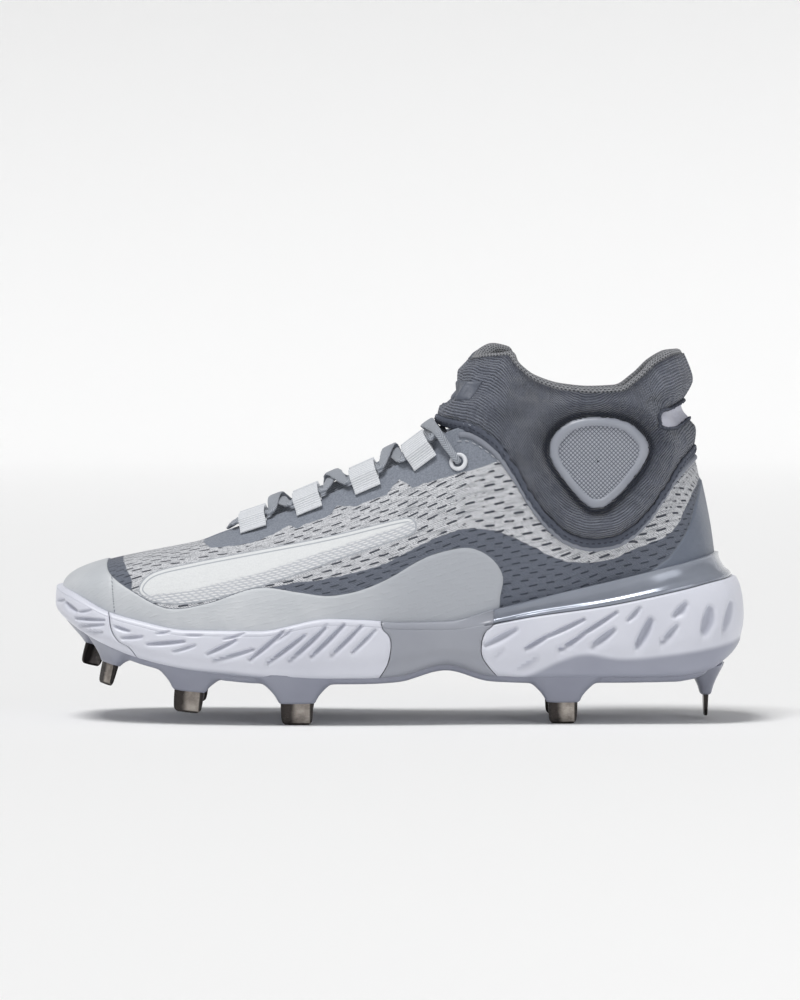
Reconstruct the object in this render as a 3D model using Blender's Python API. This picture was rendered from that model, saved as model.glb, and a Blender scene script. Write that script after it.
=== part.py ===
# Mid-cut baseball cleat, left shoe, standing on its metal spikes.
# The toe points along -X, the outer side of the foot faces -Y, and the floor is z = 0.

import math

import bmesh
import bpy
import numpy as np
from mathutils.bvhtree import BVHTree

# Main sizes in metres
SHOE_LENGTH = 0.300
BALL_WIDTH = 0.106
CUFF_HEIGHT = 0.1635
CLEARANCE = 0.0003
FLAT_ANGLE = math.radians(0.5)

# Upper and its overlays
UPPER_WALL = 0.002
FILM = 0.001
FILM_ABOVE_RIM = 0.0009
UPPER_STEPS = 26
UPPER_ROWS = 7

# Cuff
CUFF_WALL = 0.008
CUFF_PUFF = 0.003
HEEL_DIP = 0.0068
FRONT_DIP = 0.0065
CUFF_FRONT_STEPS = 6
CUFF_ROWS = 7
BINDING_WIDTH = 0.0060
BINDING_HEIGHT = 0.0030
DISC_THICKNESS = 0.0016
DISC_GAP = 1.3 * CLEARANCE
PATCH_THICKNESS = 0.0008
PATCH_GAP = 3.0 * CLEARANCE
LABEL_HALF = 0.0110

# Tongue and insole
TONGUE_WALL = 0.0030
TONGUE_CROWN = 0.0034
TIP_DROP = 0.0010
INSOLE_THICKNESS = 0.004

# Sole
LIP = 0.0020
CLIP_HOLLOW = 0.0016
GROOVE_DEPTH = 0.0016
PLATE_THICKNESS = 0.0040
PLATE_INSET = 0.0015
CARVED_TURNS = ((0.20, 0.48), (0.60, 0.86))

# Spikes
SPIKE_THICKNESS = 0.0022
SPIKE_HEIGHT = 0.0092
SPIKE_WIDTH = 0.0140
BOSS_MARGIN = 0.0040
LEVEL_ENOUGH = 0.8
PLATE_LOOKS = 20
SPIKE_LEAN = 0.7
SPIKE_LEAN_FROM = 0.02

# Laces, loops and eyelets
LACE_WIDTH = 0.0062
LACE_THICKNESS = 0.0014
LOOP_WIDTH = 0.0120
LOOP_STRAP = 0.0010
LOOP_LENGTH = 0.0105
EYELET_RADIUS = 0.0040
EYELET_HOLE = 0.0022
EYELET_THICKNESS = 0.0012


class Rows:
    # A table with named columns, read between its rows by a curve that never overshoots.

    def __init__(self, names, *rows):
        self.names = names.split()
        self.data = np.array(rows, float)
        keys = self.data[:, 0]
        step = np.diff(keys)[:, None]
        rise = np.diff(self.data, axis=0) / step
        slope = np.zeros_like(self.data)
        slope[0] = rise[0]
        slope[-1] = rise[-1]
        for k in range(1, len(keys) - 1):
            a = 2 * step[k] + step[k - 1]
            b = step[k] + 2 * step[k - 1]
            same = rise[k - 1] * rise[k] > 0
            safe = np.where(same, rise[k - 1], 1.0), np.where(same, rise[k], 1.0)
            slope[k] = np.where(same, (a + b) / (a / safe[0] + b / safe[1]), 0.0)
        self.slope = slope

    def read(self, name, key):
        keys = self.data[:, 0]
        key = min(max(key, keys[0]), keys[-1])
        k = min(int(np.searchsorted(keys, key, side="right")) - 1, len(keys) - 2)
        c = self.names.index(name)
        h = keys[k + 1] - keys[k]
        t = (key - keys[k]) / h
        y0, y1 = self.data[k, c], self.data[k + 1, c]
        m0, m1 = self.slope[k, c] * h, self.slope[k + 1, c] * h
        t2, t3 = t * t, t * t * t
        return (
            (2 * t3 - 3 * t2 + 1) * y0
            + (t3 - 2 * t2 + t) * m0
            + (3 * t2 - 2 * t3) * y1
            + (t3 - t2) * m1
        )


# Plan of the foot and the sole. turn goes from the toe, 0, to the heel, 1, along one side.
# Half widths are shares of the ball width.
PLAN = Rows(
    "turn foot_out foot_in sole_out sole_in",
    (0.00, 0.000, 0.000, 0.000, 0.000),
    (0.05, 0.140, 0.142, 0.160, 0.162),
    (0.10, 0.245, 0.250, 0.285, 0.288),
    (0.15, 0.320, 0.325, 0.370, 0.372),
    (0.20, 0.378, 0.378, 0.430, 0.430),
    (0.25, 0.418, 0.412, 0.472, 0.466),
    (0.30, 0.442, 0.432, 0.496, 0.486),
    (0.35, 0.452, 0.436, 0.506, 0.490),
    (0.40, 0.446, 0.422, 0.500, 0.476),
    (0.45, 0.424, 0.392, 0.476, 0.444),
    (0.50, 0.392, 0.352, 0.440, 0.404),
    (0.55, 0.360, 0.322, 0.406, 0.374),
    (0.60, 0.338, 0.310, 0.388, 0.362),
    (0.70, 0.326, 0.318, 0.390, 0.384),
    (0.80, 0.308, 0.306, 0.384, 0.382),
    (0.85, 0.280, 0.280, 0.358, 0.358),
    (0.90, 0.226, 0.226, 0.300, 0.300),
    (0.95, 0.130, 0.130, 0.176, 0.176),
    (1.00, 0.000, 0.000, 0.000, 0.000),
)

# Middle line of the foot across its length, as shares of the ball width, plus to the inner side.
MIDDLE = Rows(
    "along shift",
    (0.00, 0.085),
    (0.10, 0.078),
    (0.20, 0.055),
    (0.35, 0.010),
    (0.50, -0.025),
    (0.65, -0.030),
    (0.80, -0.012),
    (1.00, 0.000),
)

# Heights along the sole, as shares of the cuff height.
SOLE = Rows(
    "along rim step base bed under_inset",
    (0.000, 0.364, 0.350, 0.265, 0.312, 0.110),
    (0.035, 0.340, 0.322, 0.228, 0.290, 0.100),
    (0.085, 0.294, 0.280, 0.192, 0.255, 0.085),
    (0.120, 0.276, 0.262, 0.172, 0.235, 0.078),
    (0.200, 0.249, 0.236, 0.144, 0.202, 0.066),
    (0.300, 0.248, 0.236, 0.126, 0.182, 0.062),
    (0.400, 0.280, 0.264, 0.124, 0.184, 0.062),
    (0.450, 0.277, 0.262, 0.124, 0.192, 0.066),
    (0.500, 0.270, 0.254, 0.128, 0.200, 0.075),
    (0.570, 0.272, 0.252, 0.158, 0.212, 0.085),
    (0.635, 0.303, 0.268, 0.128, 0.224, 0.078),
    (0.700, 0.333, 0.289, 0.124, 0.230, 0.070),
    (0.800, 0.376, 0.314, 0.124, 0.235, 0.070),
    (0.900, 0.420, 0.352, 0.126, 0.240, 0.080),
    (0.960, 0.446, 0.377, 0.140, 0.242, 0.095),
    (1.000, 0.450, 0.391, 0.165, 0.244, 0.110),
)

# The upper's top line and the two handles of each rise from the sole to it. rise and crown are
# shares of the height between, flare and pitch are degrees.
UPPER = Rows(
    "turn along half height rise flare crown pitch",
    (0.00, 0.2180, 0.000, 0.474, 0.30, 36, 0.76, 10),
    (0.05, 0.2190, 0.045, 0.475, 0.30, 35, 0.72, 11),
    (0.10, 0.2220, 0.078, 0.478, 0.30, 32, 0.64, 13),
    (0.15, 0.2300, 0.100, 0.486, 0.31, 29, 0.56, 16),
    (0.20, 0.2450, 0.113, 0.498, 0.32, 26, 0.48, 19),
    (0.30, 0.3000, 0.128, 0.531, 0.34, 20, 0.38, 26),
    (0.40, 0.3900, 0.150, 0.598, 0.35, 15, 0.34, 35),
    (0.45, 0.4500, 0.168, 0.644, 0.35, 13, 0.32, 40),
    (0.50, 0.5200, 0.195, 0.706, 0.35, 11, 0.31, 48),
    (0.54, 0.5660, 0.228, 0.766, 0.34, 10, 0.30, 58),
    (0.57, 0.5940, 0.262, 0.780, 0.33, 9, 0.30, 66),
    (0.60, 0.6320, 0.296, 0.742, 0.32, 9, 0.30, 74),
    (0.63, 0.6640, 0.318, 0.667, 0.32, 8, 0.30, 80),
    (0.66, 0.6900, 0.332, 0.587, 0.32, 8, 0.30, 84),
    (0.69, 0.7160, 0.341, 0.526, 0.32, 8, 0.30, 87),
    (0.72, 0.7450, 0.346, 0.486, 0.32, 8, 0.30, 88),
    (0.75, 0.7750, 0.347, 0.473, 0.32, 8, 0.30, 89),
    (0.78, 0.8050, 0.343, 0.479, 0.32, 8, 0.30, 89),
    (0.81, 0.8320, 0.331, 0.505, 0.32, 9, 0.30, 88),
    (0.84, 0.8540, 0.310, 0.545, 0.32, 9, 0.30, 86),
    (0.87, 0.8750, 0.277, 0.602, 0.33, 10, 0.30, 83),
    (0.90, 0.8930, 0.232, 0.655, 0.33, 10, 0.31, 80),
    (0.94, 0.9110, 0.156, 0.692, 0.33, 11, 0.32, 77),
    (1.00, 0.9260, 0.000, 0.716, 0.33, 11, 0.33, 76),
)
FOOT_START = 0.022
FOOT_END = 0.952
CORNER_STEP = 15
THROAT_STEP = 14

# The cuff's front lower edge, which crosses the tongue, from the middle to the corner.
CUFF_FRONT = Rows(
    "part along half height",
    (0.00, 0.5570, 0.000, 0.798),
    (0.30, 0.5590, 0.085, 0.797),
    (0.60, 0.5660, 0.165, 0.792),
    (1.00, 0.5910, 0.258, 0.780),
)

# The cuff's top edge, from the front, 0, to the heel, 1.
CUFF_TOP = Rows(
    "round along half height",
    (0.00, 0.6000, 0.000, 0.958),
    (0.08, 0.6060, 0.090, 0.966),
    (0.16, 0.6280, 0.166, 0.978),
    (0.24, 0.6520, 0.226, 0.976),
    (0.32, 0.6700, 0.272, 0.938),
    (0.40, 0.6980, 0.304, 0.900),
    (0.50, 0.7380, 0.326, 0.876),
    (0.60, 0.7780, 0.330, 0.868),
    (0.70, 0.8160, 0.316, 0.872),
    (0.78, 0.8440, 0.286, 0.905),
    (0.86, 0.8720, 0.232, 0.948),
    (0.93, 0.8980, 0.150, 0.970),
    (1.00, 0.9130, 0.000, 0.974),
)

# Side outlines of the overlays and the sole blocks: shares of the length and the cuff height.
TOE_OVERLAY_EDGE = (
    (0.077, 0.428),
    (0.084, 0.393),
    (0.116, 0.351),
    (0.169, 0.306),
    (0.225, 0.319),
    (0.280, 0.353),
    (0.313, 0.361),
    (0.359, 0.349),
    (0.401, 0.341),
    (0.446, 0.356),
    (0.488, 0.389),
    (0.530, 0.434),
    (0.565, 0.457),
    (0.602, 0.465),
    (0.632, 0.438),
    (0.648, 0.391),
    (0.644, 0.335),
)
COUNTER_EDGE = (
    (0.866, 0.413),
    (0.884, 0.436),
    (0.906, 0.484),
    (0.923, 0.553),
    (0.934, 0.633),
)
BUMPER_SEAM = (
    (0.078, 0.320),
    (0.084, 0.292),
    (0.088, 0.250),
    (0.098, 0.220),
    (0.116, 0.199),
    (0.132, 0.150),
)
FOREFOOT_SEAM = (
    (0.474, 0.300),
    (0.476, 0.258),
    (0.486, 0.236),
    (0.4885, 0.208),
    (0.483, 0.160),
    (0.466, 0.110),
)
HEEL_SEAM = (
    (0.6350, 0.330),
    (0.6350, 0.269),
    (0.6230, 0.245),
    (0.6175, 0.212),
    (0.6210, 0.172),
    (0.6480, 0.110),
)
CLIP_LINE = (
    (0.600, 0.258),
    (0.635, 0.2675),
    (0.700, 0.288),
    (0.800, 0.314),
    (0.900, 0.352),
    (0.960, 0.377),
    (1.060, 0.404),
)
ANKLE_DISC = (
    (0.783, 0.806),
    (0.826, 0.792),
    (0.853, 0.745),
    (0.852, 0.700),
    (0.826, 0.632),
    (0.798, 0.582),
    (0.783, 0.571),
    (0.766, 0.582),
    (0.738, 0.640),
    (0.717, 0.702),
    (0.719, 0.752),
    (0.744, 0.794),
)
HEEL_PATCH = (
    (0.875, 0.800),
    (0.912, 0.862),
    (0.960, 0.862),
    (0.960, 0.772),
    (0.893, 0.770),
)
FRONT_LABEL = (
    (0.540, 0.850),
    (0.540, 0.905),
    (0.622, 0.905),
    (0.612, 0.880),
    (0.592, 0.850),
)

# Spikes: place along the length and across the ball width, height of the tip as a share of the
# cuff height, heading in degrees from the shoe's length, and width as a share of the spike's.
SPIKES = {
    "spike_toe_out": (0.076, -0.150, 0.098, -55, 0.78),
    "spike_toe_in": (0.048, 0.170, 0.136, 40, 0.78),
    "spike_front_out": (0.196, -0.300, 0.030, -12, 0.92),
    "spike_front_in": (0.195, 0.370, 0.030, 10, 0.92),
    "spike_ball_out": (0.354, -0.375, 0.0, 4, 1.0),
    "spike_ball_in": (0.352, 0.350, 0.0, -4, 1.0),
    "spike_heel_out": (0.735, -0.290, 0.0, 0, 0.90),
    "spike_heel_in": (0.735, 0.250, 0.0, 0, 0.90),
    "spike_rear": (0.945, 0.0, 0.009, 90, 0.90),
}

# Rings of a boss from the spike up: share of its rise, and growth in margins.
BOSS_STEPS = (
    (0.0, 0.0),
    (0.50, 0.50),
    (1.0, 1.5),
)

# Turns of the loops and the top eyelet along the throat.
LOOP_TURNS = (0.288, 0.381, 0.452, 0.508)
EYELET_TURN = 0.560
EYELET_ROW = 0.82
TOP_CROSSING = 0.524

LOOKS = {
    "upper": ((0.36, 0.38, 0.41), 0.85, 0.0),
    "toe_overlay": ((0.56, 0.58, 0.60), 0.45, 0.0),
    "heel_counter": ((0.16, 0.18, 0.22), 0.45, 0.0),
    "cuff": ((0.17, 0.18, 0.21), 0.9, 0.0),
    "cuff_binding": ((0.28, 0.30, 0.34), 0.9, 0.0),
    "disc": ((0.27, 0.29, 0.33), 0.6, 0.0),
    "patch": ((0.49, 0.49, 0.56), 0.6, 0.0),
    "tongue": ((0.32, 0.35, 0.39), 0.85, 0.0),
    "insole": ((0.10, 0.11, 0.13), 0.9, 0.0),
    "foam": ((0.62, 0.65, 0.72), 0.5, 0.0),
    "saddle": ((0.40, 0.42, 0.47), 0.4, 0.0),
    "clip": ((0.30, 0.33, 0.38), 0.25, 0.2),
    "plate": ((0.34, 0.36, 0.42), 0.45, 0.0),
    "spike": ((0.50, 0.47, 0.44), 0.28, 1.0),
    "loop": ((0.68, 0.70, 0.73), 0.8, 0.0),
    "lace": ((0.30, 0.33, 0.37), 0.9, 0.0),
}


def look(name):
    if name in bpy.data.materials:
        return bpy.data.materials[name]
    colour, roughness, metallic = LOOKS[name]
    made = bpy.data.materials.new(name)
    made.use_nodes = True
    shader = made.node_tree.nodes["Principled BSDF"]
    shader.inputs["Base Color"].default_value = (*colour, 1.0)
    shader.inputs["Roughness"].default_value = roughness
    shader.inputs["Metallic"].default_value = metallic
    made.diffuse_color = (*colour, 1.0)
    return made


def add_body(name, points, faces, material):
    mesh = bpy.data.meshes.new(name)
    mesh.from_pydata([tuple(p) for p in points], [], faces)
    tidy_mesh(mesh)
    body = bpy.data.objects.new(name, mesh)
    bpy.context.scene.collection.objects.link(body)
    mesh.materials.append(look(material))
    return body


def tidy_mesh(mesh, merge=0.00001):
    work = bmesh.new()
    work.from_mesh(mesh)
    bmesh.ops.remove_doubles(work, verts=work.verts, dist=merge)
    bmesh.ops.dissolve_degenerate(work, edges=work.edges, dist=merge)
    bmesh.ops.triangulate(work, faces=work.faces)
    bmesh.ops.recalc_face_normals(work, faces=work.faces)
    work.to_mesh(mesh)
    work.free()


def flatten(mesh):
    # Joins faces that lie in one plane, so that a cut leaves few of them.
    work = bmesh.new()
    work.from_mesh(mesh)
    bmesh.ops.remove_doubles(work, verts=work.verts, dist=0.00002)
    bmesh.ops.dissolve_limit(
        work, angle_limit=FLAT_ANGLE, verts=work.verts, edges=work.edges, delimit={"NORMAL"}
    )
    work.to_mesh(mesh)
    work.free()


def combine(body, tool, operation):
    # Applies a Boolean of body with tool and removes the tool.
    change = body.modifiers.new("combine", "BOOLEAN")
    change.object = tool
    change.operation = operation
    bpy.context.view_layer.update()
    seen = body.evaluated_get(bpy.context.evaluated_depsgraph_get())
    made = bpy.data.meshes.new_from_object(seen)
    body.modifiers.clear()
    body.data = made
    bpy.data.objects.remove(tool)
    if operation == "INTERSECT":
        flatten(made)
    tidy_mesh(made, 0.00002)


def unit(vector):
    return vector / max(float(np.linalg.norm(vector)), 1e-12)


def place(along, across, height):
    # A point from its shares of the length, the ball width and the cuff height.
    return np.array(
        (
            (along - 0.5) * SHOE_LENGTH,
            across * BALL_WIDTH,
            height * CUFF_HEIGHT,
        )
    )


def swing(turn):
    return (1 - math.cos(math.pi * turn)) / 2


def foot_along(turn):
    return FOOT_START + (FOOT_END - FOOT_START) * swing(turn)


def signed(position):
    # position runs from -1, the heel on the outer side, by 0 at the toe to 1 at the heel again.
    return abs(position), ("out" if position < 0 else "in"), (-1 if position < 0 else 1)


def feather(position):
    turn, side, sign = signed(position)
    along = foot_along(turn)
    half = PLAN.read("foot_" + side, turn)
    shift = MIDDLE.read("shift", along)
    point = place(along, shift + sign * half, SOLE.read("bed", along))
    point[2] += CLEARANCE
    return point


def outward(position):
    # The level direction straight out of the foot's outline.
    step = 0.01
    after = feather(position + step if position + step <= 1 else position + step - 2)
    before = feather(position - step if position - step >= -1 else position - step + 2)
    run = unit((after - before) * (1, 1, 0))
    return np.array((-run[1], run[0], 0.0))


def top_line(position):
    turn, _side, sign = signed(position)
    along = UPPER.read("along", turn)
    shift = MIDDLE.read("shift", along) * 0.8
    return place(along, shift + sign * UPPER.read("half", turn), UPPER.read("height", turn))


def upper_point(position, row):
    # The outer face of the upper: row 0 is at the sole, row 1 at the top line.
    turn, _side, _sign = signed(position)
    start, end = feather(position), top_line(position)
    reach = float(np.linalg.norm(end - start))
    out = outward(position)
    flare = math.radians(UPPER.read("flare", turn))
    pitch = math.radians(UPPER.read("pitch", turn))
    up = np.array((0.0, 0.0, 1.0))
    first = UPPER.read("rise", turn) * reach * (up * math.cos(flare) + out * math.sin(flare))
    last = UPPER.read("crown", turn) * reach * (out * math.cos(pitch) - up * math.sin(pitch))
    t, s = row, 1 - row
    return (
        s * s * s * start
        + 3 * s * s * t * (start + first)
        + 3 * s * t * t * (end + last)
        + t * t * t * end
    )


def row_at_height(position, height):
    # The row at which the upper's outer face reaches a height, found from below.
    low, high = 0.0, 0.6
    for _ in range(24):
        middle = (low + high) / 2
        if upper_point(position, middle)[2] < height:
            low = middle
        else:
            high = middle
    return (low + high) / 2


def grid_normals(grid, closed=True):
    # The outward normals of a grid of columns and rows. Columns run round the foot.
    grid = np.asarray(grid)
    if closed:
        across = np.roll(grid, -1, axis=0) - np.roll(grid, 1, axis=0)
    else:
        across = np.gradient(grid, axis=0)
    along = np.gradient(grid, axis=1)
    normal = np.cross(along, across)
    size = np.linalg.norm(normal, axis=2, keepdims=True)
    return normal / np.maximum(size, 1e-12)


def ring_faces(columns, rows):
    # Faces of a body whose closed sections, one a column, follow each other round a ring.
    faces = []
    for c in range(columns):
        n = (c + 1) % columns
        for r in range(rows):
            q = (r + 1) % rows
            faces.append((c * rows + r, n * rows + r, n * rows + q))
            faces.append((c * rows + r, n * rows + q, c * rows + q))
    return faces


def add_ring(name, sections, material):
    sections = np.asarray(sections)
    columns, rows = sections.shape[:2]
    return add_body(name, sections.reshape(-1, 3), ring_faces(columns, rows), material)


def add_slab(name, outer, inner, material):
    # A closed body between two grids of the same size.
    outer, inner = np.asarray(outer), np.asarray(inner)
    columns, rows = outer.shape[:2]
    count = columns * rows
    points = np.concatenate((outer.reshape(-1, 3), inner.reshape(-1, 3)))
    faces = []
    for c in range(columns - 1):
        for r in range(rows - 1):
            a, b = c * rows + r, (c + 1) * rows + r
            faces.append((a, b, b + 1))
            faces.append((a, b + 1, a + 1))
            faces.append((count + a, count + b + 1, count + b))
            faces.append((count + a, count + a + 1, count + b + 1))
    rim = [c * rows for c in range(columns)]
    rim += [(columns - 1) * rows + r for r in range(1, rows)]
    rim += [c * rows + rows - 1 for c in range(columns - 2, -1, -1)]
    rim += [r for r in range(rows - 2, 0, -1)]
    for k, a in enumerate(rim):
        b = rim[(k + 1) % len(rim)]
        faces.append((a, b, count + b, count + a))
    return add_body(name, points, faces, material)


def add_shell(name, columns, material):
    # A body whose columns start and end on the foot's middle line, so that both sides meet there.
    columns = np.asarray(columns)
    count, rows = columns.shape[:2]
    faces = []
    for c in range(count):
        n = (c + 1) % count
        for r in range(rows - 1):
            faces.append((c * rows + r, n * rows + r, n * rows + r + 1))
            faces.append((c * rows + r, n * rows + r + 1, c * rows + r + 1))
    return add_body(name, columns.reshape(-1, 3), faces, material)


def smooth_outline(corners, parts=2):
    # An open curve through hand-placed corners, in metres along the side.
    corners = [place(a, 0, h)[[0, 2]] for a, h in corners]
    points = []
    for k in range(len(corners) - 1):
        before = corners[max(k - 1, 0)]
        here, there = corners[k], corners[k + 1]
        after = corners[min(k + 2, len(corners) - 1)]
        for j in range(parts):
            t = j / parts
            points.append(
                0.5
                * (
                    2 * here
                    + (there - before) * t
                    + (2 * before - 5 * here + 4 * there - after) * t * t
                    + (3 * here - before - 3 * there + after) * t * t * t
                )
            )
    points.append(corners[-1])
    return points


def add_prism(outline, near, far):
    # A straight block across the shoe with a side outline.
    count = len(outline)
    points = [(p[0], near, p[1]) for p in outline] + [(p[0], far, p[1]) for p in outline]
    faces = [tuple(range(count)), tuple(range(2 * count - 1, count - 1, -1))]
    for k in range(count):
        n = (k + 1) % count
        faces.append((k, k + count, n + count, n))
    return add_body("outline_block", points, faces, "plate")


def shifted(outline, distance):
    # The outline moved along the shoe.
    return [np.array((p[0] + distance, p[1])) for p in outline]


def lifted(outline, distance):
    return [np.array((p[0], p[1] + distance)) for p in outline]


def level(along, height):
    return place(along, 0, height)[[0, 2]]


def build_upper():
    positions = [(k - UPPER_STEPS) / UPPER_STEPS for k in range(2 * UPPER_STEPS)]
    rows = [k / UPPER_ROWS for k in range(UPPER_ROWS + 1)]
    outer = np.array([[upper_point(p, r) for r in rows] for p in positions])
    normal = grid_normals(outer)
    inner = outer - normal * UPPER_WALL
    sections = np.concatenate((outer, inner[:, ::-1]), axis=1)
    add_ring("upper", sections, "upper")
    return positions, outer, normal, inner


def build_film(name, outer, normal, picked, outline, material):
    # A film on the upper: a layer over some columns, cut to its side outline.
    grid, out = outer[picked], normal[picked]
    low = grid + out * CLEARANCE
    high = low + out * FILM
    film = add_slab(name, high, low, material)
    wide = BALL_WIDTH
    combine(film, add_prism(outline, -wide, wide), "INTERSECT")
    return film


def rim_outline(start, end, count=10):
    # The line on which the films end, just above the sole's rim.
    points = []
    for k in range(count + 1):
        along = start + (end - start) * k / count
        point = level(along, SOLE.read("rim", along))
        point[1] += FILM_ABOVE_RIM
        points.append(point)
    return points


def seam_sections():
    # Columns of the cuff's lower edge: the front ones cross the tongue, the others follow the
    # upper's top line.
    columns = []
    for side in (-1, 1):
        ring = []
        for k in range(CUFF_FRONT_STEPS):
            part = k / CUFF_FRONT_STEPS
            along = CUFF_FRONT.read("along", part)
            shift = MIDDLE.read("shift", along) * 0.8
            half = CUFF_FRONT.read("half", part)
            ring.append(place(along, shift + side * half, CUFF_FRONT.read("height", part)))
        for k in range(CORNER_STEP, UPPER_STEPS + 1):
            ring.append(top_line(side * k / UPPER_STEPS))
        columns.append(ring)
    return columns


def cuff_dip(round_share, row):
    # How far the cuff's face sinks in at the heel's slot and the front label.
    heel = max(0.0, (round_share - 0.80) / 0.20) ** 0.6 if round_share > 0.80 else 0.0
    front = max(0.0, 1 - round_share / 0.16)
    heel_band = math.exp(-(((row - 0.44) / 0.17) ** 2))
    front_band = math.exp(-(((row - 0.42) / 0.20) ** 2))
    return HEEL_DIP * heel * heel_band + FRONT_DIP * min(1.0, 2 * front) * front_band


def build_cuff():
    sides = seam_sections()
    grid, shares = [], []
    lower = sides[0]
    count = len(lower)
    # Round share of each column, by its place in the ring.
    run = [0.0]
    for k in range(1, count):
        step = (lower[k] - lower[k - 1]) * (1, 1, 0.25)
        run.append(run[-1] + float(np.linalg.norm(step)))
    rounds = [r / run[-1] for r in run]
    order = [(1, k) for k in range(count)] + [(0, k) for k in range(count - 2, 0, -1)]
    for side, k in order:
        sign = -1 if side == 0 else 1
        start = sides[side][k]
        along = CUFF_TOP.read("along", rounds[k])
        half = CUFF_TOP.read("half", rounds[k])
        shift = MIDDLE.read("shift", along) * 0.8
        end = place(along, shift + sign * half, CUFF_TOP.read("height", rounds[k]))
        start = start + np.array((0.0, 0.0, 2 * CLEARANCE))
        rise = end - start
        lift = np.array((0.0, 0.0, 0.33 * float(rise[2])))
        rows = []
        for r in range(CUFF_ROWS + 1):
            t = r / CUFF_ROWS
            s = 1 - t
            rows.append(
                s * s * s * start
                + 3 * s * s * t * (start + lift)
                + 3 * s * t * t * (end - lift)
                + t * t * t * end
            )
        grid.append(rows)
        shares.append(rounds[k])
    grid = np.array(grid)
    normal = grid_normals(grid)
    puffed = grid.copy()
    for c in range(len(grid)):
        for r in range(CUFF_ROWS + 1):
            t = r / CUFF_ROWS
            puff = CUFF_PUFF * (1 - abs(2 * t - 1) ** 2.5)
            puffed[c, r] += normal[c, r] * (puff - cuff_dip(shares[c], t))
    normal = grid_normals(puffed)
    inner = grid - normal * CUFF_WALL
    inner[:, 0] += (inner[:, 1] - inner[:, 0]) * 0.15
    sections = np.concatenate((puffed, inner[:, ::-1]), axis=1)
    add_ring("cuff", sections, "cuff")
    return puffed, normal, inner


def build_binding(outer, inner):
    # The knit binding along the cuff's top edge.
    middle = (outer[:, -1] + inner[:, -1]) / 2
    across = outer[:, -1] - inner[:, -1]
    across = across / np.linalg.norm(across, axis=1, keepdims=True)
    up = np.array((0.0, 0.0, 1.0))
    sections = []
    for centre, side in zip(middle, across):
        rise = unit(up - side * float(np.dot(up, side)))
        base = centre + rise * CLEARANCE * 2.5
        ring = []
        for x, z in ((0.44, 0.0), (0.5, 0.5), (0.0, 1.0), (-0.5, 0.5), (-0.44, 0.0)):
            ring.append(base + side * x * BINDING_WIDTH + rise * z * BINDING_HEIGHT)
        sections.append(ring)
    add_ring("cuff_binding", sections, "cuff_binding")


def build_on_cuff(name, puffed, normal, outline, gap, thickness, near, far, material):
    low = puffed + normal * gap
    high = low + normal * thickness
    sections = np.concatenate((high, low[:, ::-1]), axis=1)
    body = add_ring(name, sections, material)
    combine(body, add_prism(outline, near, far), "INTERSECT")
    return body


def closed_outline(corners, parts=2):
    ring = list(corners) + [corners[0], corners[1], corners[2]]
    points = smooth_outline(ring, parts)
    return points[parts : parts * (len(corners) + 1)]


def sole_positions():
    # The upper's columns, with one more between two where the foam is carved.
    found = []
    for k in range(-UPPER_STEPS, UPPER_STEPS):
        found.append(k / UPPER_STEPS)
        middle = (k + 0.5) / UPPER_STEPS
        if any(low < abs(middle) < high for low, high in CARVED_TURNS):
            found.append(middle)
    return found


def on_upper_facets(position, row):
    # A point on the flat faces between the upper's columns.
    scaled = position * UPPER_STEPS
    low = math.floor(scaled + 1e-9)
    share = scaled - low
    first = upper_point(low / UPPER_STEPS, row)
    if share < 1e-6:
        return first
    return first * (1 - share) + upper_point((low + 1) / UPPER_STEPS, row) * share


def spine(along, height):
    held = min(max(along, 0.14), 0.88)
    return place(held, MIDDLE.read("shift", held), height(held))


def groove(along, lift, turn):
    # Depth share of the carved ridges on the sides of the two foam blocks.
    if 0.085 < along < 0.475 and 0.08 < turn < 0.92:
        slope = 0.030 + 0.045 * (along - 0.1) / 0.37
        wave = (along + slope * (1 - lift) * 1.6 - 0.10) / 0.031
        body = 0.5 - 0.5 * math.cos(2 * math.pi * wave)
        band = math.sin(math.pi * min(max((lift - 0.12) / 0.8, 0.0), 1.0)) ** 0.7
        return body * band
    if 0.625 < along:
        wave = (along - 0.02 * (1 - lift)) / 0.047
        body = 0.5 - 0.5 * math.cos(2 * math.pi * wave)
        band = math.sin(math.pi * min(max((lift - 0.25) / 0.7, 0.0), 1.0))
        return 0.9 * body * band
    return 0.0


def lip_place(position):
    # The upper's row and place at the rim, whose height follows the place along the shoe.
    along = foot_along(abs(position))
    for _ in range(3):
        row = row_at_height(position, SOLE.read("rim", along) * CUFF_HEIGHT)
        point = on_upper_facets(position, row)
        along = point[0] / SHOE_LENGTH + 0.5
    return row, point


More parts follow.
